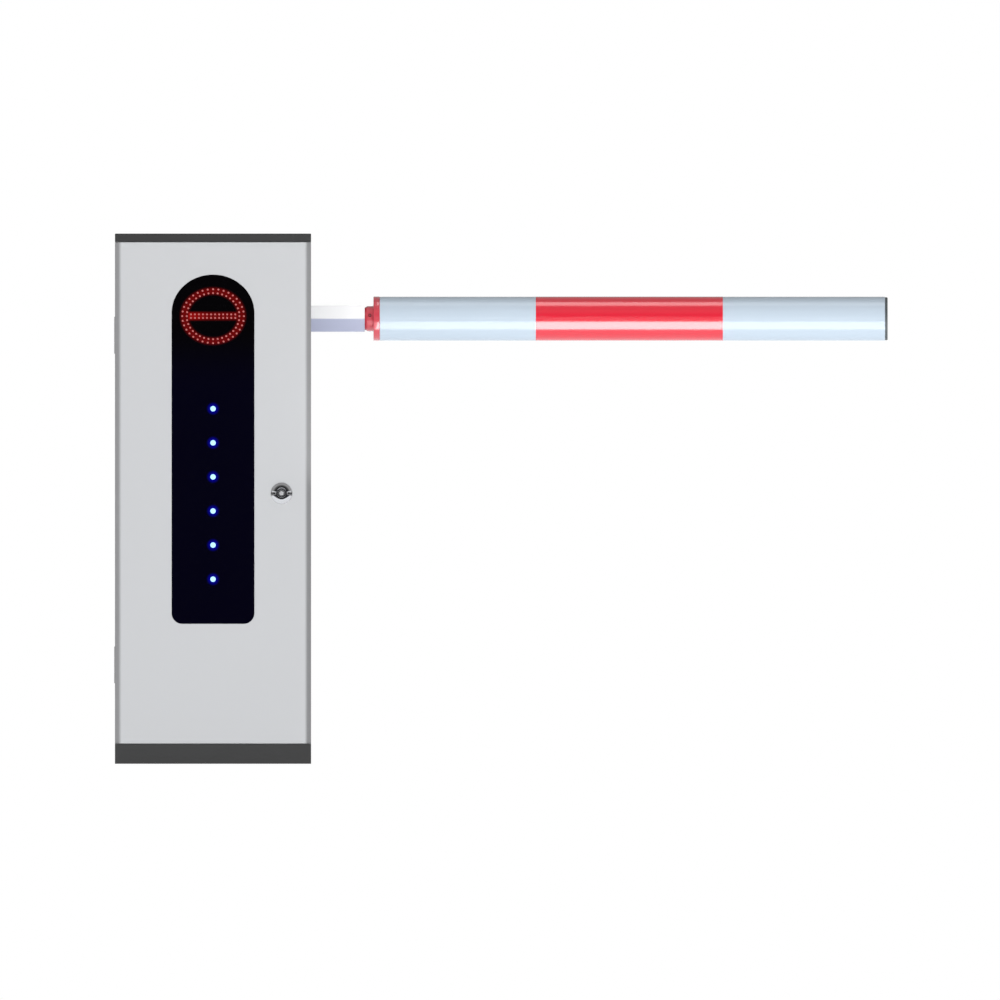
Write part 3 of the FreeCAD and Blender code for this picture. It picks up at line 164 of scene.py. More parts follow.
world = bpy.data.worlds.new("surround")
world.use_nodes = True
bpy.context.scene.world = world
sky = Nodes(world.node_tree)
direction = sky.node("ShaderNodeTexCoord", out=0)
north = sky.axes(direction)[1]
paths = sky.node("ShaderNodeLightPath").socket.node.outputs
to_camera = Link(sky, paths["Is Camera Ray"])
in_gloss = Link(sky, paths["Is Glossy Ray"])
behind_camera = sky.fade(0 - north, 0.80, 0.97)
level = SKY_LEVEL * (1 - in_gloss * behind_camera * 0.9)
shown = to_camera + (1 - to_camera) * level
background = world.node_tree.nodes["Background"]
background.inputs["Color"].default_value = (1, 1, 1, 1)
world.node_tree.links.new(shown.socket, background.inputs["Strength"])


def area_light(name, place, aim, width, height, watts, gloss_only=False):
    """A rectangular light at place that faces aim."""
    data = bpy.data.lights.new(name, "AREA")
    data.shape = "RECTANGLE"
    data.size = width
    data.size_y = height
    data.energy = watts
    lamp = bpy.data.objects.new(name, data)
    lamp.location = place
    lamp.rotation_euler = (Vector(aim) - Vector(place)).to_track_quat("-Z", "Y").to_euler()
    bpy.context.scene.collection.objects.link(lamp)
    lamp.visible_camera = False
    lamp.visible_diffuse = not gloss_only
    lamp.visible_glossy = gloss_only


area_light("key", (0.55, -7.0, 0.80), (0.55, 0, 0.60), 4.0, 2.4, 394)
area_light("fill_right", (5.6, 5.0, 1.6), (0.5, 0, 0.5), 3.0, 3.0, 250)
area_light("fill_left", (-4.6, 5.0, 1.6), (0.5, 0, 0.5), 3.0, 3.0, 250)
area_light("low_panel", (0.765, -0.475, 0.50), (0.765, -0.475, 2), 0.98, 0.96, 28, gloss_only=True)
area_light("top_panel", (0.77, 0.145, 1.31), (0.77, 0.145, 0), 0.97, 0.21, 1.9, gloss_only=True)

bpy.ops.object.select_all(action="DESELECT")
bpy.ops.mesh.primitive_plane_add(size=80, location=(0, 0, -0.0006))
floor = bpy.context.object
floor.name = "floor"
floor_material = bpy.data.materials.new("pale_floor")
floor_material.use_nodes = True
ground = Nodes(floor_material.node_tree)
ground_y = ground.axes(ground.node("ShaderNodeTexCoord", out=3))[1]
ground_paths = ground.node("ShaderNodeLightPath").socket.node.outputs
dimmed = Link(ground, ground_paths["Is Glossy Ray"]) * ground.fade(ground_y, -2.4, -3.2)
floor_shader = floor_material.node_tree.nodes["Principled BSDF"]
ground_colour = ground.node("ShaderNodeCombineColor", None, {
    "Red": 0.62 - dimmed * 0.60, "Green": 0.63 - dimmed * 0.61, "Blue": 0.65 - dimmed * 0.62})
ground.tree.links.new(ground_colour.socket, floor_shader.inputs["Base Color"])
floor_shader.inputs["Roughness"].default_value = 0.9
floor_shader.inputs["Specular IOR Level"].default_value = 0.0
floor_shader.inputs["Emission Color"].default_value = (0.96, 0.98, 1.0, 1)
ground_glow = FLOOR_GLOW * (1 - dimmed)
ground.tree.links.new(ground_glow.socket, floor_shader.inputs["Emission Strength"])
floor.data.materials.append(floor_material)


# ---- Plinth ----------------------------------------------------------------------------------
# The welded base that is bolted to the foundation: 3 mm sheet with a floor plate, powder
# coated in a fine charcoal texture.


class Finish(Nodes):
    """A material: its shader's uniform sockets, and patterns on the object's coordinates."""

    def __init__(self, name, colour, **sockets):
        self.material = bpy.data.materials.new(name)
        self.material.use_nodes = True
        super().__init__(self.material.node_tree)
        self.shader = self.tree.nodes["Principled BSDF"]
        self.colour = (*colour, 1)
        self.shader.inputs["Base Color"].default_value = self.colour
        for socket, value in sockets.items():
            label = socket.replace("_", " ").title().replace("Ior", "IOR")
            self.shader.inputs[label].default_value = value
        self.place = self.node("ShaderNodeTexCoord", out=3)

    def feed(self, socket, link):
        self.tree.links.new(link.socket, self.shader.inputs[socket])

    def noise(self, scale, detail=2.0, stretch=None):
        """Cloudy noise from 0 to 1; stretch is how much finer it is along each axis."""
        where = self.place
        if stretch:
            where = self.node("ShaderNodeMapping", None, {"Vector": where, "Scale": stretch})
        sockets = {"Vector": where, "Scale": scale, "Detail": detail}
        return self.node("ShaderNodeTexNoise", None, sockets)

    def mix(self, factor, a, b):
        """The colour a where factor is 0, and b where it is 1."""
        settings = {"data_type": "RGBA"}
        a, b = [c if isinstance(c, Link) or len(c) == 4 else (*c, 1) for c in (a, b)]
        return self.node("ShaderNodeMix", settings, {0: factor, 6: a, 7: b}, out=2)

    def vary(self, factor, other):
        """The base colour goes over to other where factor is 1."""
        self.feed("Base Color", self.mix(factor, self.colour, other))

    def bump(self, height, depth):
        """Raises the surface by height times depth, in metres."""
        sockets = {"Height": height, "Distance": depth, "Strength": 1.0}
        self.feed("Normal", self.node("ShaderNodeBump", None, sockets))

    def on(self, *names):
        """Puts the finish on CAD nodes or new pieces."""
        for name in names:
            mesh = bpy.data.objects[name].data
            mesh.materials.clear()
            mesh.materials.append(self.material)


def powder_coat(name, colour, roughness=0.5, specular=0.3, grain=0.00004):
    """Baked powder paint: a fine orange peel, and a faint unevenness in tone and gloss."""
    paint = Finish(name, colour, roughness=roughness, specular_ior_level=specular)
    cloud = paint.noise(7, 3)
    paint.vary(paint.fade(cloud, 0.2, 0.8), [c * 0.965 for c in colour])
    paint.feed("Roughness", roughness - 0.05 + cloud * 0.1)
    paint.bump(paint.noise(620, 1), grain)
    return paint


def keep_flats(piece):
    """Shades a piece with rounded edges so that its large faces stay flat."""
    flats = piece.modifiers.new("flats", "WEIGHTED_NORMAL")
    flats.weight = 100
    flats.keep_sharp = True
    bpy.ops.object.modifier_apply(modifier="flats")


def round_edges(piece, width):
    """Rounds a piece's sharp edges; width is how far from the edge the rounding starts."""
    edges = piece.modifiers.new("edges", "BEVEL")
    edges.width = width
    edges.segments = 2
    edges.limit_method = "ANGLE"
    edges.angle_limit = math.radians(35)
    bpy.ops.object.modifier_apply(modifier="edges")


def softened(node, name, width, join_flats=True):
    """A new piece in a CAD node's shape, with its faces joined and its sharp edges rounded."""
    piece = bpy.data.objects.new(name, frame["nodes"][node].data.copy())
    bpy.context.scene.collection.objects.link(piece)
    bpy.ops.object.select_all(action="DESELECT")
    piece.select_set(True)
    bpy.context.view_layer.objects.active = piece
    bpy.ops.mesh.customdata_custom_splitnormals_clear()
    bpy.ops.object.mode_set(mode="EDIT")
    bpy.ops.mesh.select_all(action="SELECT")
    bpy.ops.mesh.remove_doubles(threshold=0.00001)
    if join_flats:
        bpy.ops.mesh.dissolve_limited(angle_limit=math.radians(1))
    bpy.ops.object.mode_set(mode="OBJECT")
    bpy.ops.object.shade_smooth_by_angle(angle=math.radians(30))
    if width:
        round_edges(piece, width)
        keep_flats(piece)
    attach(piece, frame["nodes"][node]["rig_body"])
    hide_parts(node)
    return piece


softened("base_frame", "plinth", 0.0006)
charcoal_paint = powder_coat("charcoal_paint", (0.042, 0.042, 0.042), 0.55, 0.15, 0.00006)
charcoal_paint.on("plinth")


# ---- Cabinet shell ---------------------------------------------------------------------------
# Sides, back and roof in folded 2 mm sheet, powder coated light grey. The shell is bolted to
# the plinth's upper flange and carries the door's hinges.

cabinet_paint = powder_coat("cabinet_paint", (0.453, 0.458, 0.467), 0.5, 0.2)
softened("cabinet_shell", "shell", 0.0006)
cabinet_paint.on("shell")


# ---- Top cap ---------------------------------------------------------------------------------
# A shallow lid with a rounded rim over the shell, in a charcoal paint like the plinth's, set darker
# as painted shade against the brighter light its rim catches. Screws from inside the cabinet hold
# it.

softened("top_cap", "cap", 0.0005)
# Painted shade: the cap's charcoal is set darker than the plinth's, against the brighter light on
# its rim.
cap_paint_shaded = powder_coat("cap_paint_shaded", (0.0375, 0.0375, 0.0375), 0.6, 0.1, 0.00006)
cap_paint_shaded.on("cap")


# ---- Door ------------------------------------------------------------------------------------
# A folded pan in the cabinet's paint. Its two bevelled corners run into the front in a soft bend
# and are painted a darker grey as shade, the right one darker still against the key light; the
# hinges beside them have the same grey.

CORNER_X = 0.1695
CORNER_BEND = 0.0035
door = softened("door_panel", "door", 0)
bpy.ops.object.mode_set(mode="EDIT")
bpy.ops.mesh.select_all(action="DESELECT")
bpy.ops.mesh.select_mode(type="EDGE")
bpy.ops.object.mode_set(mode="OBJECT")
for edge in door.data.edges:
    ends = [door.data.vertices[i].co for i in edge.vertices]
    at_corner = all(abs(abs(v.x) - CORNER_X) < 0.0002 and v.y < -0.1498 for v in ends)
    edge.select = at_corner and abs(ends[0].z - ends[1].z) > 0.1
bpy.ops.object.mode_set(mode="EDIT")
bpy.ops.mesh.bevel(offset=CORNER_BEND, segments=5, clamp_overlap=True)
bpy.ops.object.mode_set(mode="OBJECT")
round_edges(door, 0.0005)
keep_flats(door)
door_paint_and_shade = powder_coat("door_paint_and_shade", (0.453, 0.458, 0.467), 0.5, 0.2)
door_x = door_paint_and_shade.axes(door_paint_and_shade.place)[0]
# Painted shade: the bevelled corners turn a darker grey, the right one darker than the left to even
# out the key light.
shaded_corner = door_paint_and_shade.fade(abs(door_x), CORNER_X - CORNER_BEND, CORNER_X + CORNER_BEND)
to_right = door_paint_and_shade.fade(door_x, -0.1, 0.1)
corner_shade_grey = door_paint_and_shade.mix(to_right, (0.252, 0.250, 0.254), (0.214, 0.214, 0.218))
door_paint_and_shade.vary(shaded_corner, corner_shade_grey)
door_paint_and_shade.on("door")
hinge_grey = powder_coat("hinge_grey", (0.27, 0.27, 0.275), 0.5, 0.2)
hinge_grey.on("hinge_fixed_leaves", "hinge_moving_leaves")


# ---- Seals and stops -------------------------------------------------------------------------
# The door seal and the shaft's lip seal are black rubber pressed on or in; the two stops are
# rubber buffers screwed to their posts.

rubber = Finish("rubber", (0.012, 0.012, 0.012), roughness=0.75, specular_ior_level=0.3)
rubber.vary(rubber.fade(rubber.noise(35, 3), 0.4, 0.8), (0.022, 0.022, 0.021))
rubber.bump(rubber.noise(500, 2), 0.0001)
rubber.on("door_seal", "shaft_seal", "buffers")


# ---- Fasteners and small sheet parts ---------------------------------------------------------
# Screws, bolts, clips, the lock's cam, the spring shelf, the rod ends, the rail and the
# supply's case are steel with yellowish zinc plating. The supply stands on the rail.

zinc_plate = Finish("zinc_plate", (0.60, 0.61, 0.58), metallic=1.0, roughness=0.36)
zinc_plate.vary(zinc_plate.fade(zinc_plate.noise(60, 3), 0.35, 0.7), (0.68, 0.63, 0.50))
zinc_plate.feed("Roughness", 0.28 + zinc_plate.noise(160, 2) * 0.2)
softened("power_supply", "supply_case", 0.0005)
zinc_plate.on("cabinet_screws", "display_mounts", "lock_cam", "mechanism_bolts",
              "arm_bracket_bolts", "spring_anchor", "rod_ends", "din_rail", "supply_case")


# ---- Mechanism plate, bearings, shafts and levers --------------------------------------------
# Bare steel with the grain of its rolling or turning, under a film of oil. The hub behind the
# cabinet, the stops' posts and the connecting rod are blackened.

steel = Finish("steel", (0.50, 0.51, 0.52), metallic=1.0, roughness=0.35)
brush = steel.noise(90, 2, (1, 1, 14))
steel.vary(steel.fade(steel.noise(11, 3), 0.35, 0.75), (0.41, 0.415, 0.42))
steel.feed("Roughness", 0.24 + brush * 0.22)
steel.bump(brush, 0.00003)
steel.on("mechanism_plate", "frame_brackets", "bearing_outer_rings", "bearing_inner_rings",
         "main_shaft", "rocker_lever", "output_shaft", "crank_lever", "worm_shaft",
         "motor_rotor", "boom_spigot")

dark_steel = Finish("dark_steel", (0.03, 0.03, 0.033), metallic=0.7, roughness=0.42)
dark_steel.vary(dark_steel.fade(dark_steel.noise(70, 3), 0.45, 0.8), (0.05, 0.05, 0.053))
dark_steel.feed("Roughness", 0.34 + dark_steel.noise(240, 2) * 0.18)
dark_steel.on("arm_hub", "buffer_posts", "rod_link")


# ---- Gearbox and clamp block -----------------------------------------------------------------
# Sand castings in blue-grey enamel: the gearbox with its bolted cover, and the block that
# clamps the boom's stub to the hub.

softened("gearbox_housing", "gear_case", 0.0008)
softened("gearbox_cover", "gear_cover", 0.0006)
softened("arm_bracket", "clamp_block", 0.0010)
cast_grey = Finish("cast_grey", (0.17, 0.19, 0.21), roughness=0.5, metallic=0.2)
cast_grey.vary(cast_grey.fade(cast_grey.noise(18, 3), 0.35, 0.75), (0.145, 0.163, 0.182))
cast_grey.bump(cast_grey.noise(420, 3), 0.00025)
cast_grey.on("gear_case", "gear_cover", "clamp_block")

bronze = Finish("bronze", (0.55, 0.32, 0.12), metallic=1.0, roughness=0.3)
bronze.vary(bronze.fade(bronze.noise(120, 3), 0.35, 0.75), (0.42, 0.235, 0.085))
bronze.feed("Roughness", 0.22 + bronze.noise(300, 2) * 0.2)
bronze.on("gearbox_bushes", "worm_wheel")


# ---- Motor -----------------------------------------------------------------------------------
# A finned aluminium motor in dark blue-grey paint under the gearbox, with its terminal box and
# an end cap. The shaft's bearing housings have the same paint.

softened("motor_end_cap", "motor_cap", 0.0005)
motor_paint = Finish("motor_paint", (0.073, 0.089, 0.107), roughness=0.42)
motor_paint.vary(motor_paint.fade(motor_paint.noise(16, 3), 0.35, 0.75), (0.060, 0.074, 0.090))
motor_paint.bump(motor_paint.noise(300, 2), 0.0002)
motor_paint.on("motor_body", "motor_cap", "bearing_housings")


# ---- Hand wheel, control box, breaker and terminals ------------------------------------------
# Moulded plastics: a black hand wheel and toggle, and light grey for the box with its lid, the
# breaker and the terminals, which stand on the rail.

black_plastic = Finish("black_plastic", (0.055, 0.066, 0.070), roughness=0.55)
black_plastic.vary(black_plastic.fade(black_plastic.noise(40, 3), 0.35, 0.8), (0.048, 0.058, 0.062))
black_plastic.bump(black_plastic.noise(900, 1), 0.00005)
black_plastic.on("hand_wheel", "breaker_toggle")

softened("control_box", "box", 0.0008)
softened("control_lid", "box_lid", 0.0008)
softened("circuit_breaker", "breaker_case", 0.0004)
softened("terminal_strip", "terminals", 0.0002)
grey_plastic = Finish("grey_plastic", (0.52, 0.54, 0.55), roughness=0.5)
grey_plastic.vary(grey_plastic.fade(grey_plastic.noise(14, 3), 0.3, 0.8), (0.485, 0.505, 0.515))
grey_plastic.bump(grey_plastic.noise(1100, 1), 0.00003)
grey_plastic.on("box", "box_lid", "breaker_case", "terminals")


# ---- Circuit boards --------------------------------------------------------------------------
# The lamp board on the door and the board in the control box: glass fibre under green lacquer,
# with copper tracks that show as lighter lines, and tinned pads.

TRACK_PITCH = 0.0036
PAD_PITCH = 0.00508
circuit_board = Finish("circuit_board", (0.010, 0.080, 0.030), roughness=0.4)
board_x, _, board_z = circuit_board.axes(circuit_board.place)
track_far = board_x.repeat(TRACK_PITCH / 2)
track_run = circuit_board.fade(circuit_board.noise(60, 1, (1, 1, 0.12)), 0.50, 0.53)
track = circuit_board.fade(track_far, 0.0005, 0.0003) * track_run
pad_far = (board_x.repeat(PAD_PITCH / 2) ** 2 + board_z.repeat(PAD_PITCH / 2) ** 2) ** 0.5
pad = circuit_board.fade(pad_far, 0.0008, 0.0006)
pad = pad * circuit_board.fade(circuit_board.noise(48, 1), 0.56, 0.60)
with_tracks = circuit_board.mix(track, circuit_board.colour, (0.022, 0.150, 0.062))
circuit_board.feed("Base Color", circuit_board.mix(pad, with_tracks, (0.55, 0.55, 0.50)))
circuit_board.feed("Metallic", pad)
circuit_board.on("led_board", "control_board")


# ---- Display panel ---------------------------------------------------------------------------
# A dark acrylic lens plate. The lamps behind it light the acrylic round them: a red ring and
# bar at the top, and six blue points down the middle.

RING_Z = 0.8148
RING_A, RING_B = 0.05205, 0.04555
RING_MEAN_R = 0.049
RED_GLOW_FAR = 0.0098
BLUE_TOP_Z = 0.6463
BLUE_PITCH = 0.06206
BLUE_COUNT = 6

display_black = Finish("display_black", (0.0008, 0.0006, 0.0043), roughness=0.08,
                       specular_ior_level=0.1, emission_strength=1.0)
px, _, pz = display_black.axes(display_black.place)
ring_place = ((px / RING_A) ** 2 + ((pz - RING_Z) / RING_B) ** 2) ** 0.5
ring_glow = display_black.fade(abs(ring_place - 1) * RING_MEAN_R, RED_GLOW_FAR, 0.0022)
bar_glow = display_black.fade(abs(pz - RING_Z), RED_GLOW_FAR, 0.0036)
bar_glow = bar_glow * display_black.fade(abs(px), 0.047, 0.043)
bar_glow = bar_glow * (1.0 + display_black.fade(px, 0.0, -0.045) * 0.9)
to_blue = (pz - BLUE_TOP_Z).repeat(BLUE_PITCH / 2)
blue_low_z = BLUE_TOP_Z - BLUE_PITCH * (BLUE_COUNT - 1)
blue_range = display_black.fade(pz, BLUE_TOP_Z + 0.020, BLUE_TOP_Z + 0.018)
blue_range = blue_range * display_black.fade(pz, blue_low_z - 0.020, blue_low_z - 0.018)
blue_far = (px ** 2 + to_blue ** 2) ** 0.5
blue_glow = display_black.fade(blue_far, 0.0128, 0.0050) * blue_range
red_level = ring_glow * 0.135 + bar_glow * 0.150
glow = display_black.node(
    "ShaderNodeCombineColor", None,
    {"Red": red_level, "Green": red_level * 0.012, "Blue": red_level * 0.008 + blue_glow * 0.24})
display_black.vary(display_black.fade(pz, 0.68, 0.80), (0.0010, 0.0008, 0.0012))
display_black.feed("Emission Color", glow)
softened("display_panel", "display", 0, join_flats=False)
display_black.on("display")


def finished(name, body, slot, *nodes):
    """Names the piece being worked on, puts its place in its mesh and gives it its body."""
    piece = bpy.context.object
    piece.name = piece.data.name = name
    bpy.ops.object.transform_apply(location=True, rotation=True, scale=True)
    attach(piece, body)
    if nodes:
        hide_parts(*nodes)
    return piece


def pick(piece, wanted):
    """Goes into edit mode with just the faces that wanted(face) accepts."""
    bpy.ops.object.mode_set(mode="EDIT")
    bpy.ops.mesh.select_mode(type="FACE")
    bpy.ops.mesh.select_all(action="DESELECT")
    bpy.ops.object.mode_set(mode="OBJECT")
    for face in piece.data.polygons:
        face.select = wanted(face)
    bpy.ops.object.mode_set(mode="EDIT")


def turned(at, turn, steps, sides=128):
    """Starts a piece turned about its axis, as on a lathe: a ring is drawn through steps of
    (distance along the axis, radius). Ends that stay open are closed with a face."""
    bpy.ops.object.select_all(action="DESELECT")
    along, radius = steps[0]
    bpy.ops.mesh.primitive_circle_add(vertices=sides, radius=radius, location=(0, 0, 0))
    bpy.ops.object.mode_set(mode="EDIT")
    bpy.ops.mesh.select_mode(type="VERT")
    bpy.ops.mesh.select_all(action="SELECT")
    bpy.ops.transform.translate(value=(0, 0, along))
    for next_along, next_radius in steps[1:]:
        rise = (0, 0, next_along - along)
        bpy.ops.mesh.extrude_region_move(TRANSFORM_OT_translate={"value": rise})
        grow = next_radius / radius
        bpy.ops.transform.resize(value=(grow, grow, 1), center_override=(0, 0, next_along))
        along, radius = next_along, next_radius
    bpy.ops.mesh.select_all(action="SELECT")
    bpy.ops.mesh.remove_doubles(threshold=0.00001)
    bpy.ops.mesh.fill_holes(sides=0)
    bpy.ops.mesh.select_all(action="SELECT")
    bpy.ops.mesh.normals_make_consistent(inside=False)
    bpy.ops.object.mode_set(mode="OBJECT")
    piece = bpy.context.object
    piece.location = at
    piece.rotation_euler = turn
    bpy.ops.object.shade_smooth_by_angle(angle=math.radians(36))
    keep_flats(piece)
    return piece


DISPLAY_FACE_Y = -0.1506


def reach(node, axis):
    """How far a CAD node reaches along an axis (0, 1 or 2), as its low and high ends."""
    values = [v.co[axis] for v in frame["nodes"][node].data.vertices]
    return min(values), max(values)


def lens(radius, node, sides, rings):
    """One LED at x 0, z 0: a barrel with a domed nose that points forward."""
    nose, back = reach(node, 1)
    barrel = back - DISPLAY_FACE_Y
    steps = [(0, radius * 0.97), (0.0006, radius), (barrel, radius)]
    for ring in range(1, rings):
        lift = math.radians(90 * ring / rings)
        steps.append((barrel + (DISPLAY_FACE_Y - nose) * math.sin(lift), radius * math.cos(lift)))
    return turned((0, back, 0), (math.radians(90), 0, 0), steps, sides)


def spread(first, places, name, body, slot, *nodes):
    """Copies a piece to each (x, z) place and joins the copies into one piece."""
    bpy.ops.object.select_all(action="DESELECT")
    bpy.context.view_layer.objects.active = first
    first.select_set(True)
    bpy.ops.object.transform_apply(location=True, rotation=True, scale=True)
    copies = []
    for x, z in places:
        copy = first.copy()
        copy.data = first.data.copy()
        bpy.context.scene.collection.objects.link(copy)
        copy.location = (x, 0, z)
        copies.append(copy)
    bpy.data.objects.remove(first)
    for copy in copies:
        copy.select_set(True)
    bpy.context.view_layer.objects.active = copies[0]
    bpy.ops.object.join()
    return finished(name, body, slot, *nodes)


RED_R = 0.0018
BLUE_R = 0.0050
BAR_COLUMNS, BAR_PITCH, BAR_ROW_Z = 12, 0.00734, 0.0032
ring_places = [(a * math.sin(math.radians(10 * i)), RING_Z + b * math.cos(math.radians(10 * i)))
               for a, b in ((0.0561, 0.0491), (0.0480, 0.0420)) for i in range(36)]
bar_places = [((i - (BAR_COLUMNS - 1) / 2) * BAR_PITCH, RING_Z + side * BAR_ROW_Z)
              for i in range(BAR_COLUMNS) for side in (-1, 1)]
spread(lens(RED_R, "red_leds", 12, 4), ring_places + bar_places,
       "red_lamps", "door", "red_lens", "red_leds")
red_lens = Finish("red_lens", (0.06, 0.008, 0.008), roughness=0.3, emission_strength=1.0)
lens_y = red_lens.axes(red_lens.place)[1]
red_lens.feed("Emission Color", red_lens.mix(
    red_lens.fade(lens_y, -0.15062, -0.15098), (0.16, 0.010, 0.008), (0.50, 0.135, 0.130)))
red_lens.on("red_lamps")

blue_places = [(0, BLUE_TOP_Z - BLUE_PITCH * i) for i in range(BLUE_COUNT)]
spread(lens(BLUE_R, "blue_leds", 24, 6), blue_places,
       "blue_lamps", "door", "blue_lens", "blue_leds")
blue_lens = Finish("blue_lens", (0.10, 0.2, 0.4), roughness=0.2, emission_strength=1.0)
lens_y = blue_lens.axes(blue_lens.place)[1]
blue_lens.feed("Emission Color", blue_lens.mix(
    blue_lens.fade(lens_y, -0.1506, -0.1512), (0.02, 0.10, 0.75), (0.50, 0.88, 1.0)))
blue_lens.on("blue_lamps")


# ---- Driver parts on the lamp board ----------------------------------------------------------
# The back of the lamp board carries its drivers: moulded chips with tinned legs, rows of small
# resistors, and two round capacitors beside the socket.

BOARD_BACK_Y = -0.1314
CHIP_X, CHIP_Z0, CHIP_STEP, CHIP_COUNT = 0.028, 0.395, 0.062, 6
LEG_COUNT, LEG_PITCH = 8, 0.00127
RESISTOR_PITCH = 0.0036
CAPACITOR_Z = 0.357


def block(size, at, edge):
    """A box of the given size centred at a place, with its edges rounded off."""
    bpy.ops.object.select_all(action="DESELECT")
    bpy.ops.mesh.primitive_cube_add(size=1, location=at, scale=size)
    bpy.ops.object.transform_apply(location=True, rotation=True, scale=True)
    round_edges(bpy.context.object, edge)
    bpy.ops.object.shade_smooth_by_angle(angle=math.radians(35))
    return bpy.context.object


chip_places = [(x, CHIP_Z0 + CHIP_STEP * i) for x in (-CHIP_X, CHIP_X) for i in range(CHIP_COUNT)]
spread(block((0.0040, 0.0016, 0.0100), (0, BOARD_BACK_Y + 0.0011, 0), 0.0002), chip_places,
       "driver_chips", "door", "black_plastic")
leg_places = [(x + side * 0.0026, z + (leg - (LEG_COUNT - 1) / 2) * LEG_PITCH)
              for x, z in chip_places for side in (-1, 1) for leg in range(LEG_COUNT)]
spread(block((0.0014, 0.0004, 0.0005), (0, BOARD_BACK_Y + 0.0002, 0), 0.00008), leg_places,
       "chip_legs", "door", "zinc")
spread(block((0.0016, 0.0006, 0.0032), (0, BOARD_BACK_Y + 0.0003, 0), 0.00012),
       [(x + RESISTOR_PITCH * n, z + 0.021) for x, z in chip_places for n in range(-3, 4)],
       "resistors", "door", "black_plastic")
spread(turned((0, BOARD_BACK_Y, 0), (math.radians(-90), 0, 0), [
    (0, 0.0040), (0.0010, 0.0040), (0.0014, 0.0037), (0.0018, 0.0040), (0.0066, 0.0040),
    (0.0070, 0.0037), (0.0070, 0.0032), (0.0068, 0.0030)], 32),
    [(-0.010, CAPACITOR_Z), (0.003, CAPACITOR_Z)], "capacitors", "door", "zinc")
chip_black = Finish("chip_black", (0.018, 0.018, 0.019), roughness=0.55)
chip_black.vary(chip_black.fade(chip_black.noise(900, 2), 0.3, 0.8), (0.032, 0.032, 0.033))
chip_black.on("driver_chips", "resistors")
tinned = Finish("tinned", (0.62, 0.62, 0.60), metallic=1.0, roughness=0.35)
tinned.feed("Roughness", 0.28 + tinned.noise(600, 2) * 0.2)
tinned.on("chip_legs", "capacitors")


# ---- Lock ------------------------------------------------------------------------------------
# A chromed rosette with two spanner notches, clamped to the door by a nut behind it. A key
# barrel turns in it, with a plain steel post in its middle that guards the drive.

LOCK_X, LOCK_Z = 0.12470, 0.4925
TO_FRONT = (math.radians(90), 0, 0)
NOTCH_R0, NOTCH_R1 = 0.0104, 0.0194
NOTCH_HALF_ANGLE = math.radians(10)
rosette = turned((LOCK_X, -0.125, LOCK_Z), TO_FRONT, [
    (0.0, 0.0087), (0.0, 0.0110), (0.0250, 0.0110), (0.0250, 0.0193), (0.0253, 0.0195),
    (0.0258, 0.0195), (0.0264, 0.0191), (0.0271, 0.0182), (0.0278, 0.0168), (0.0284, 0.0150),
    (0.0288, 0.0130), (0.0290, 0.0113), (0.02905, 0.0103), (0.0289, 0.0094), (0.0284, 0.0090),
    (0.0270, 0.0087), (0.0, 0.0087)], 96)
bpy.ops.object.transform_apply(location=True, rotation=True, scale=True)


def in_notch(face):
    side, up = face.center.x - LOCK_X, face.center.z - LOCK_Z
    on_dome = face.center.y < -0.1502 and NOTCH_R0 < math.hypot(side, up) < NOTCH_R1
    return on_dome and abs(math.atan2(up, abs(side))) < NOTCH_HALF_ANGLE


pick(rosette, in_notch)
bpy.ops.mesh.inset(thickness=0.0002)
bpy.ops.transform.translate(value=(0, 0.0018, 0))
bpy.ops.object.mode_set(mode="OBJECT")
bpy.ops.object.shade_smooth_by_angle(angle=math.radians(32))
finished("rosette", "door", "chrome", "lock_housing")

turned((LOCK_X, -0.1437, LOCK_Z), TO_FRONT, [
    (0, 0.0112), (0, 0.0160), (0.0004, 0.0168), (0.0046, 0.0168), (0.0050, 0.0160),
    (0.0050, 0.0112)], 6)
finished("lock_nut", "door", "chrome")

turned((LOCK_X, -0.1112, LOCK_Z), TO_FRONT, [
    (0, 0.0057), (0.0003, 0.0060), (0.0138, 0.0060), (0.0138, 0.0085), (0.0426, 0.0085),
    (0.0430, 0.0082), (0.0431, 0.0078), (0.0431, 0.0061), (0.0429, 0.0058), (0.0424, 0.0056),
    (0.0418, 0.0046), (0.0416, 0.0041), (0.0346, 0.0041)], 64)
finished("key_barrel", "lock", "chrome", "lock_core")
turned((LOCK_X, -0.1460, LOCK_Z), TO_FRONT, [
    (0, 0.0040), (0.0083, 0.0040), (0.0087, 0.0037), (0.0088, 0.0033), (0.0088, 0.0020),
    (0.0086, 0.0018), (0.0074, 0.0016)], 48)
finished("guard_post", "lock", "dark_steel", "lock_post")
chrome = Finish("chrome", (0.64, 0.64, 0.655), metallic=1.0, roughness=0.09)
chrome.feed("Roughness", 0.07 + chrome.noise(150, 2) * 0.05)
chrome.on("rosette", "lock_nut")
barrel_steel = Finish("barrel_steel", (0.36, 0.36, 0.37), metallic=1.0, roughness=0.22)
barrel_steel.feed("Roughness", 0.16 + barrel_steel.noise(400, 2) * 0.12)
barrel_steel.on("key_barrel")
post_steel = Finish("post_steel", (0.55, 0.55, 0.56), metallic=0.35, roughness=0.4)
post_steel.vary(post_steel.fade(post_steel.noise(500, 2), 0.3, 0.8), (0.40, 0.40, 0.41))
post_steel.on("guard_post")


# ---- Balance springs -------------------------------------------------------------------------
# Two extension springs of oiled wire between the shelf's eyebolts and the lever's pin. Each
# is one wire: a hook, a leg, the coil, a leg and the top hook. The real springs shorten as the
# boom lifts; this mesh keeps one length.

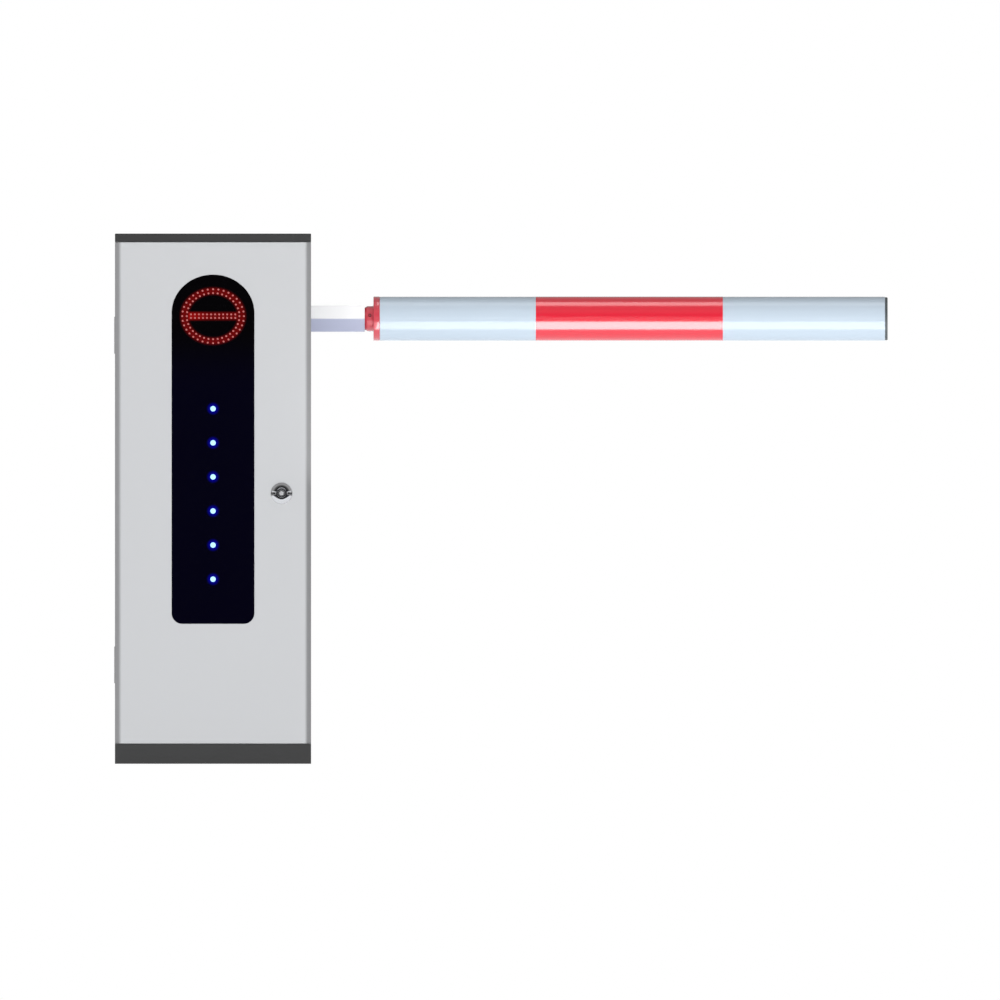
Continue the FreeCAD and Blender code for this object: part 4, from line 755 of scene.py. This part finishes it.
SPRING_X = -0.03536
SPRING_R = 0.0125
SPRING_WIRE = 0.0022
HOOK_R = 0.0088
TOP_HOOK_H = 0.0114  # the top hook is taller than wide, so it clears the pin when it shortens
LOW_HOOK_Z, TOP_HOOK_Z = 0.6421, 0.84536
COIL_Z0, COIL_Z1 = LOW_HOOK_Z + HOOK_R + 0.010, TOP_HOOK_Z - HOOK_R - 0.010
COIL_TURNS = 24
COIL_POINTS = 16  # points in a turn
HOOK_POINTS, HOOK_STEP = 22, 15


def spring_wire(y):
    """The wire's centre line, from the bottom hook to the top one."""
    line = []
    for i in range(HOOK_POINTS):
        a = math.radians(60 - HOOK_STEP * i)
        line.append((SPRING_X + HOOK_R * math.cos(a), y, LOW_HOOK_Z + HOOK_R * math.sin(a)))
    line.append((SPRING_X, y, LOW_HOOK_Z + HOOK_R))
    line.append((SPRING_X, y, COIL_Z0 - 0.003))
    line.append((SPRING_X + 0.003, y, COIL_Z0 - 0.0006))
    for i in range(COIL_TURNS * COIL_POINTS + 1):
        a = math.radians(360 / COIL_POINTS * i)
        z = COIL_Z0 + (COIL_Z1 - COIL_Z0) * i / (COIL_TURNS * COIL_POINTS)
        line.append((SPRING_X + SPRING_R * math.cos(a), y + SPRING_R * math.sin(a), z))
    line.append((SPRING_X + 0.003, y, COIL_Z1 + 0.0006))
    line.append((SPRING_X, y, COIL_Z1 + 0.003))
    line.append((SPRING_X, y, TOP_HOOK_Z - TOP_HOOK_H))
    for i in range(HOOK_POINTS):
        a = math.radians(255 - HOOK_STEP * i)
        line.append((SPRING_X + HOOK_R * math.cos(a), y, TOP_HOOK_Z + TOP_HOOK_H * math.sin(a)))
    return line


bpy.ops.object.select_all(action="DESELECT")
springs = bpy.data.objects.new("springs", bpy.data.curves.new("springs", "CURVE"))
springs.data.dimensions = "3D"
springs.data.bevel_depth = SPRING_WIRE
springs.data.bevel_resolution = 3
springs.data.use_fill_caps = True
for y in (-0.034, -0.082):
    wire_line = spring_wire(y)
    strand = springs.data.splines.new("POLY")
    strand.points.add(len(wire_line) - 1)
    for point, (x, wire_y, z) in zip(strand.points, wire_line):
        point.co = (x, wire_y, z, 1)
        point.radius = 1
bpy.context.scene.collection.objects.link(springs)
springs.select_set(True)
bpy.context.view_layer.objects.active = springs
bpy.ops.object.convert(target="MESH")
bpy.ops.object.shade_smooth_by_angle(angle=math.radians(50))
springs = finished("springs", "cabinet", "steel", "balance_springs")
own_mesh(springs)
spring_steel = Finish("spring_steel", (0.30, 0.30, 0.31), metallic=1.0, roughness=0.34)
spring_steel.vary(spring_steel.fade(spring_steel.noise(90, 3), 0.35, 0.75), (0.18, 0.17, 0.165))
spring_steel.feed("Roughness", 0.28 + spring_steel.noise(140, 2) * 0.22)
spring_steel.on("springs")


# ---- Boom stub -------------------------------------------------------------------------------
# A hexagonal aluminium tube with one corner to the front and flats above and below, in bright
# white. Its lower half is painted a cool grey as shade, darker than the lit upper half.

BOOM_Y = 0.225
BOOM_Z = 0.810
ALONG_X = (0, math.radians(90), 0)
STUB_HALF = 0.02365
STUB_CORNER_R = STUB_HALF / math.cos(math.radians(30))
STUB_WALL = 0.003
PLUG_T = 0.003
STUB_X0, STUB_X1 = -0.072, 0.2761


def hexagon(x0, x1, ends):
    """Starts a hexagonal prism along the boom's axis, with a corner to the front."""
    bpy.ops.object.select_all(action="DESELECT")
    bpy.ops.mesh.primitive_cylinder_add(
        vertices=6, radius=STUB_CORNER_R, depth=x1 - x0, end_fill_type=ends,
        location=((x0 + x1) / 2, BOOM_Y, BOOM_Z), rotation=ALONG_X)
    return bpy.context.object


stub = hexagon(STUB_X0, STUB_X1, "NOTHING")
wall = stub.modifiers.new("wall", "SOLIDIFY")
wall.thickness = STUB_WALL
wall.offset = -1
bpy.ops.object.modifier_apply(modifier="wall")
round_edges(stub, 0.0007)
bpy.ops.object.shade_smooth_by_angle(angle=math.radians(40))
keep_flats(stub)
finished("stub", "boom_arm", "boom_white", "boom_stub")
stub_white_and_shade = Finish("stub_white_and_shade", (0.97, 0.97, 0.975), roughness=0.3, specular_ior_level=0.4)
stub_z = stub_white_and_shade.axes(stub_white_and_shade.place)[2]
# Painted shade: below the axis the white turns a cool grey.
stub_white_and_shade.vary(stub_white_and_shade.fade(stub_z, BOOM_Z + 0.0010, BOOM_Z - 0.0010), (0.352, 0.372, 0.490))
stub_white_and_shade.on("stub")


# ---- Coupling --------------------------------------------------------------------------------
# The cast red joint between stub and tube: a chamfered neck, a flange, and a plug inside the
# tube. Three grub screws in the neck hold it on the stub's spigot.

BOOM_AXIS = (0, BOOM_Y, BOOM_Z)
turned(BOOM_AXIS, ALONG_X, [
    (0.2761, 0.01705), (0.2761, 0.0196), (0.2765, 0.0203), (0.2800, 0.0225), (0.2812, 0.0230),
    (0.2895, 0.0230), (0.2911, 0.0235), (0.2919, 0.0248), (0.2919, 0.0390), (0.2922, 0.0399),
    (0.2930, 0.0404), (0.3026, 0.0404), (0.3034, 0.0398), (0.3034, 0.03745), (0.3834, 0.03745),
    (0.3834, 0.01705), (0.2761, 0.01705)])
finished("coupling", "boom_arm", "coupling_red", "boom_coupling")
coupling_red = Finish("coupling_red", (0.57, 0.045, 0.070), roughness=0.24, specular_ior_level=0.5,
                      coat_weight=1.0, coat_roughness=0.05)
coupling_red.vary(coupling_red.fade(coupling_red.noise(45, 3), 0.3, 0.8), (0.54, 0.040, 0.058))
coupling_red.bump(coupling_red.noise(260, 2), 0.00003)
coupling_red.on("coupling")

for number, spin in enumerate((75, 195, 315), 1):
    turned((0.2852, BOOM_Y, BOOM_Z), (math.radians(spin), 0, 0), [
        (0.0200, 0.0030), (0.0232, 0.0030), (0.0235, 0.0026), (0.0235, 0.0017),
        (0.0215, 0.0016)], 24)
    finished("grub_screw_%d" % number, "boom_arm", "dark_steel")
    dark_steel.on("grub_screw_%d" % number)


# ---- Boom tube -------------------------------------------------------------------------------
# An 80 mm aluminium tube in gloss white, with a red film wrapped round its middle and lapped
# underneath, and a moulded cap in its end. A moulded plug closes the stub's rear end.

turned(BOOM_AXIS, ALONG_X, [
    (0.3034, 0.0394), (0.3040, 0.0400), (1.2225, 0.0400), (1.2231, 0.0394), (1.2231, 0.0375),
    (0.3034, 0.0375), (0.3034, 0.0394)])
finished("tube", "boom_arm", "boom_white", "boom_tube")
boom_white = Finish("boom_white", (0.505, 0.588, 0.670), roughness=0.13, specular_ior_level=0.23)
boom_white.feed("Roughness", 0.10 + boom_white.noise(14, 3) * 0.07)
boom_white.bump(boom_white.noise(180, 1), 0.000012)
boom_white.on("tube")

LAP_FROM, LAP_TO = 32, 48
film = turned(BOOM_AXIS, ALONG_X, [
    (0.5875, 0.04005), (0.5875, 0.0402), (0.9279, 0.0402), (0.9279, 0.04005),
    (0.5875, 0.04005)], 180)
bpy.ops.object.transform_apply(location=True, rotation=True, scale=True)


def in_lap(face):
    y, z = face.center.y - BOOM_Y, face.center.z - BOOM_Z
    round_x = math.degrees(math.atan2(y, -z)) % 360
    return LAP_FROM < round_x < LAP_TO and math.hypot(y, z) > 0.04012 and abs(face.normal.x) < 0.5


pick(film, in_lap)
bpy.ops.mesh.extrude_region_shrink_fatten(TRANSFORM_OT_shrink_fatten={"value": 0.00015})
bpy.ops.object.mode_set(mode="OBJECT")
bpy.ops.object.shade_smooth_by_angle(angle=math.radians(32))
finished("film", "boom_arm", "film_red", "red_band")
film_red = Finish("film_red", (0.69, 0.012, 0.034), roughness=0.21, specular_ior_level=0.6,
                  coat_weight=0.6, coat_roughness=0.14)
film_red.bump(film_red.noise(70, 2, (0.4, 1, 1)), 0.00004)
film_red.on("film")

turned(BOOM_AXIS, ALONG_X, [
    (1.1981, 0.0355), (1.1981, 0.03745), (1.2231, 0.03745), (1.2231, 0.0391), (1.2262, 0.0391),
    (1.2273, 0.0386), (1.2278, 0.0377), (1.2278, 0.0315), (1.2273, 0.0308), (1.2264, 0.0304),
    (1.2264, 0.0062), (1.2272, 0.0056), (1.2276, 0.0045), (1.2276, 0.0003)])
finished("boom_end_cap", "boom_arm", "black_plastic", "boom_end_caps")
black_plastic.on("boom_end_cap")

plug = hexagon(STUB_X0 - PLUG_T, STUB_X0, "NGON")
bpy.ops.object.transform_apply(location=False, rotation=True, scale=False)
pick(plug, lambda face: face.normal.x < -0.5)
bpy.ops.mesh.inset(thickness=0.006)
bpy.ops.transform.translate(value=(0.0012, 0, 0))
bpy.ops.object.mode_set(mode="OBJECT")
rim = plug.modifiers.new("rim", "BEVEL")
rim.width = 0.0006
rim.segments = 2
rim.harden_normals = True
bpy.ops.object.modifier_apply(modifier="rim")
finished("stub_plug", "boom_arm", "black_plastic")
black_plastic.on("stub_plug")
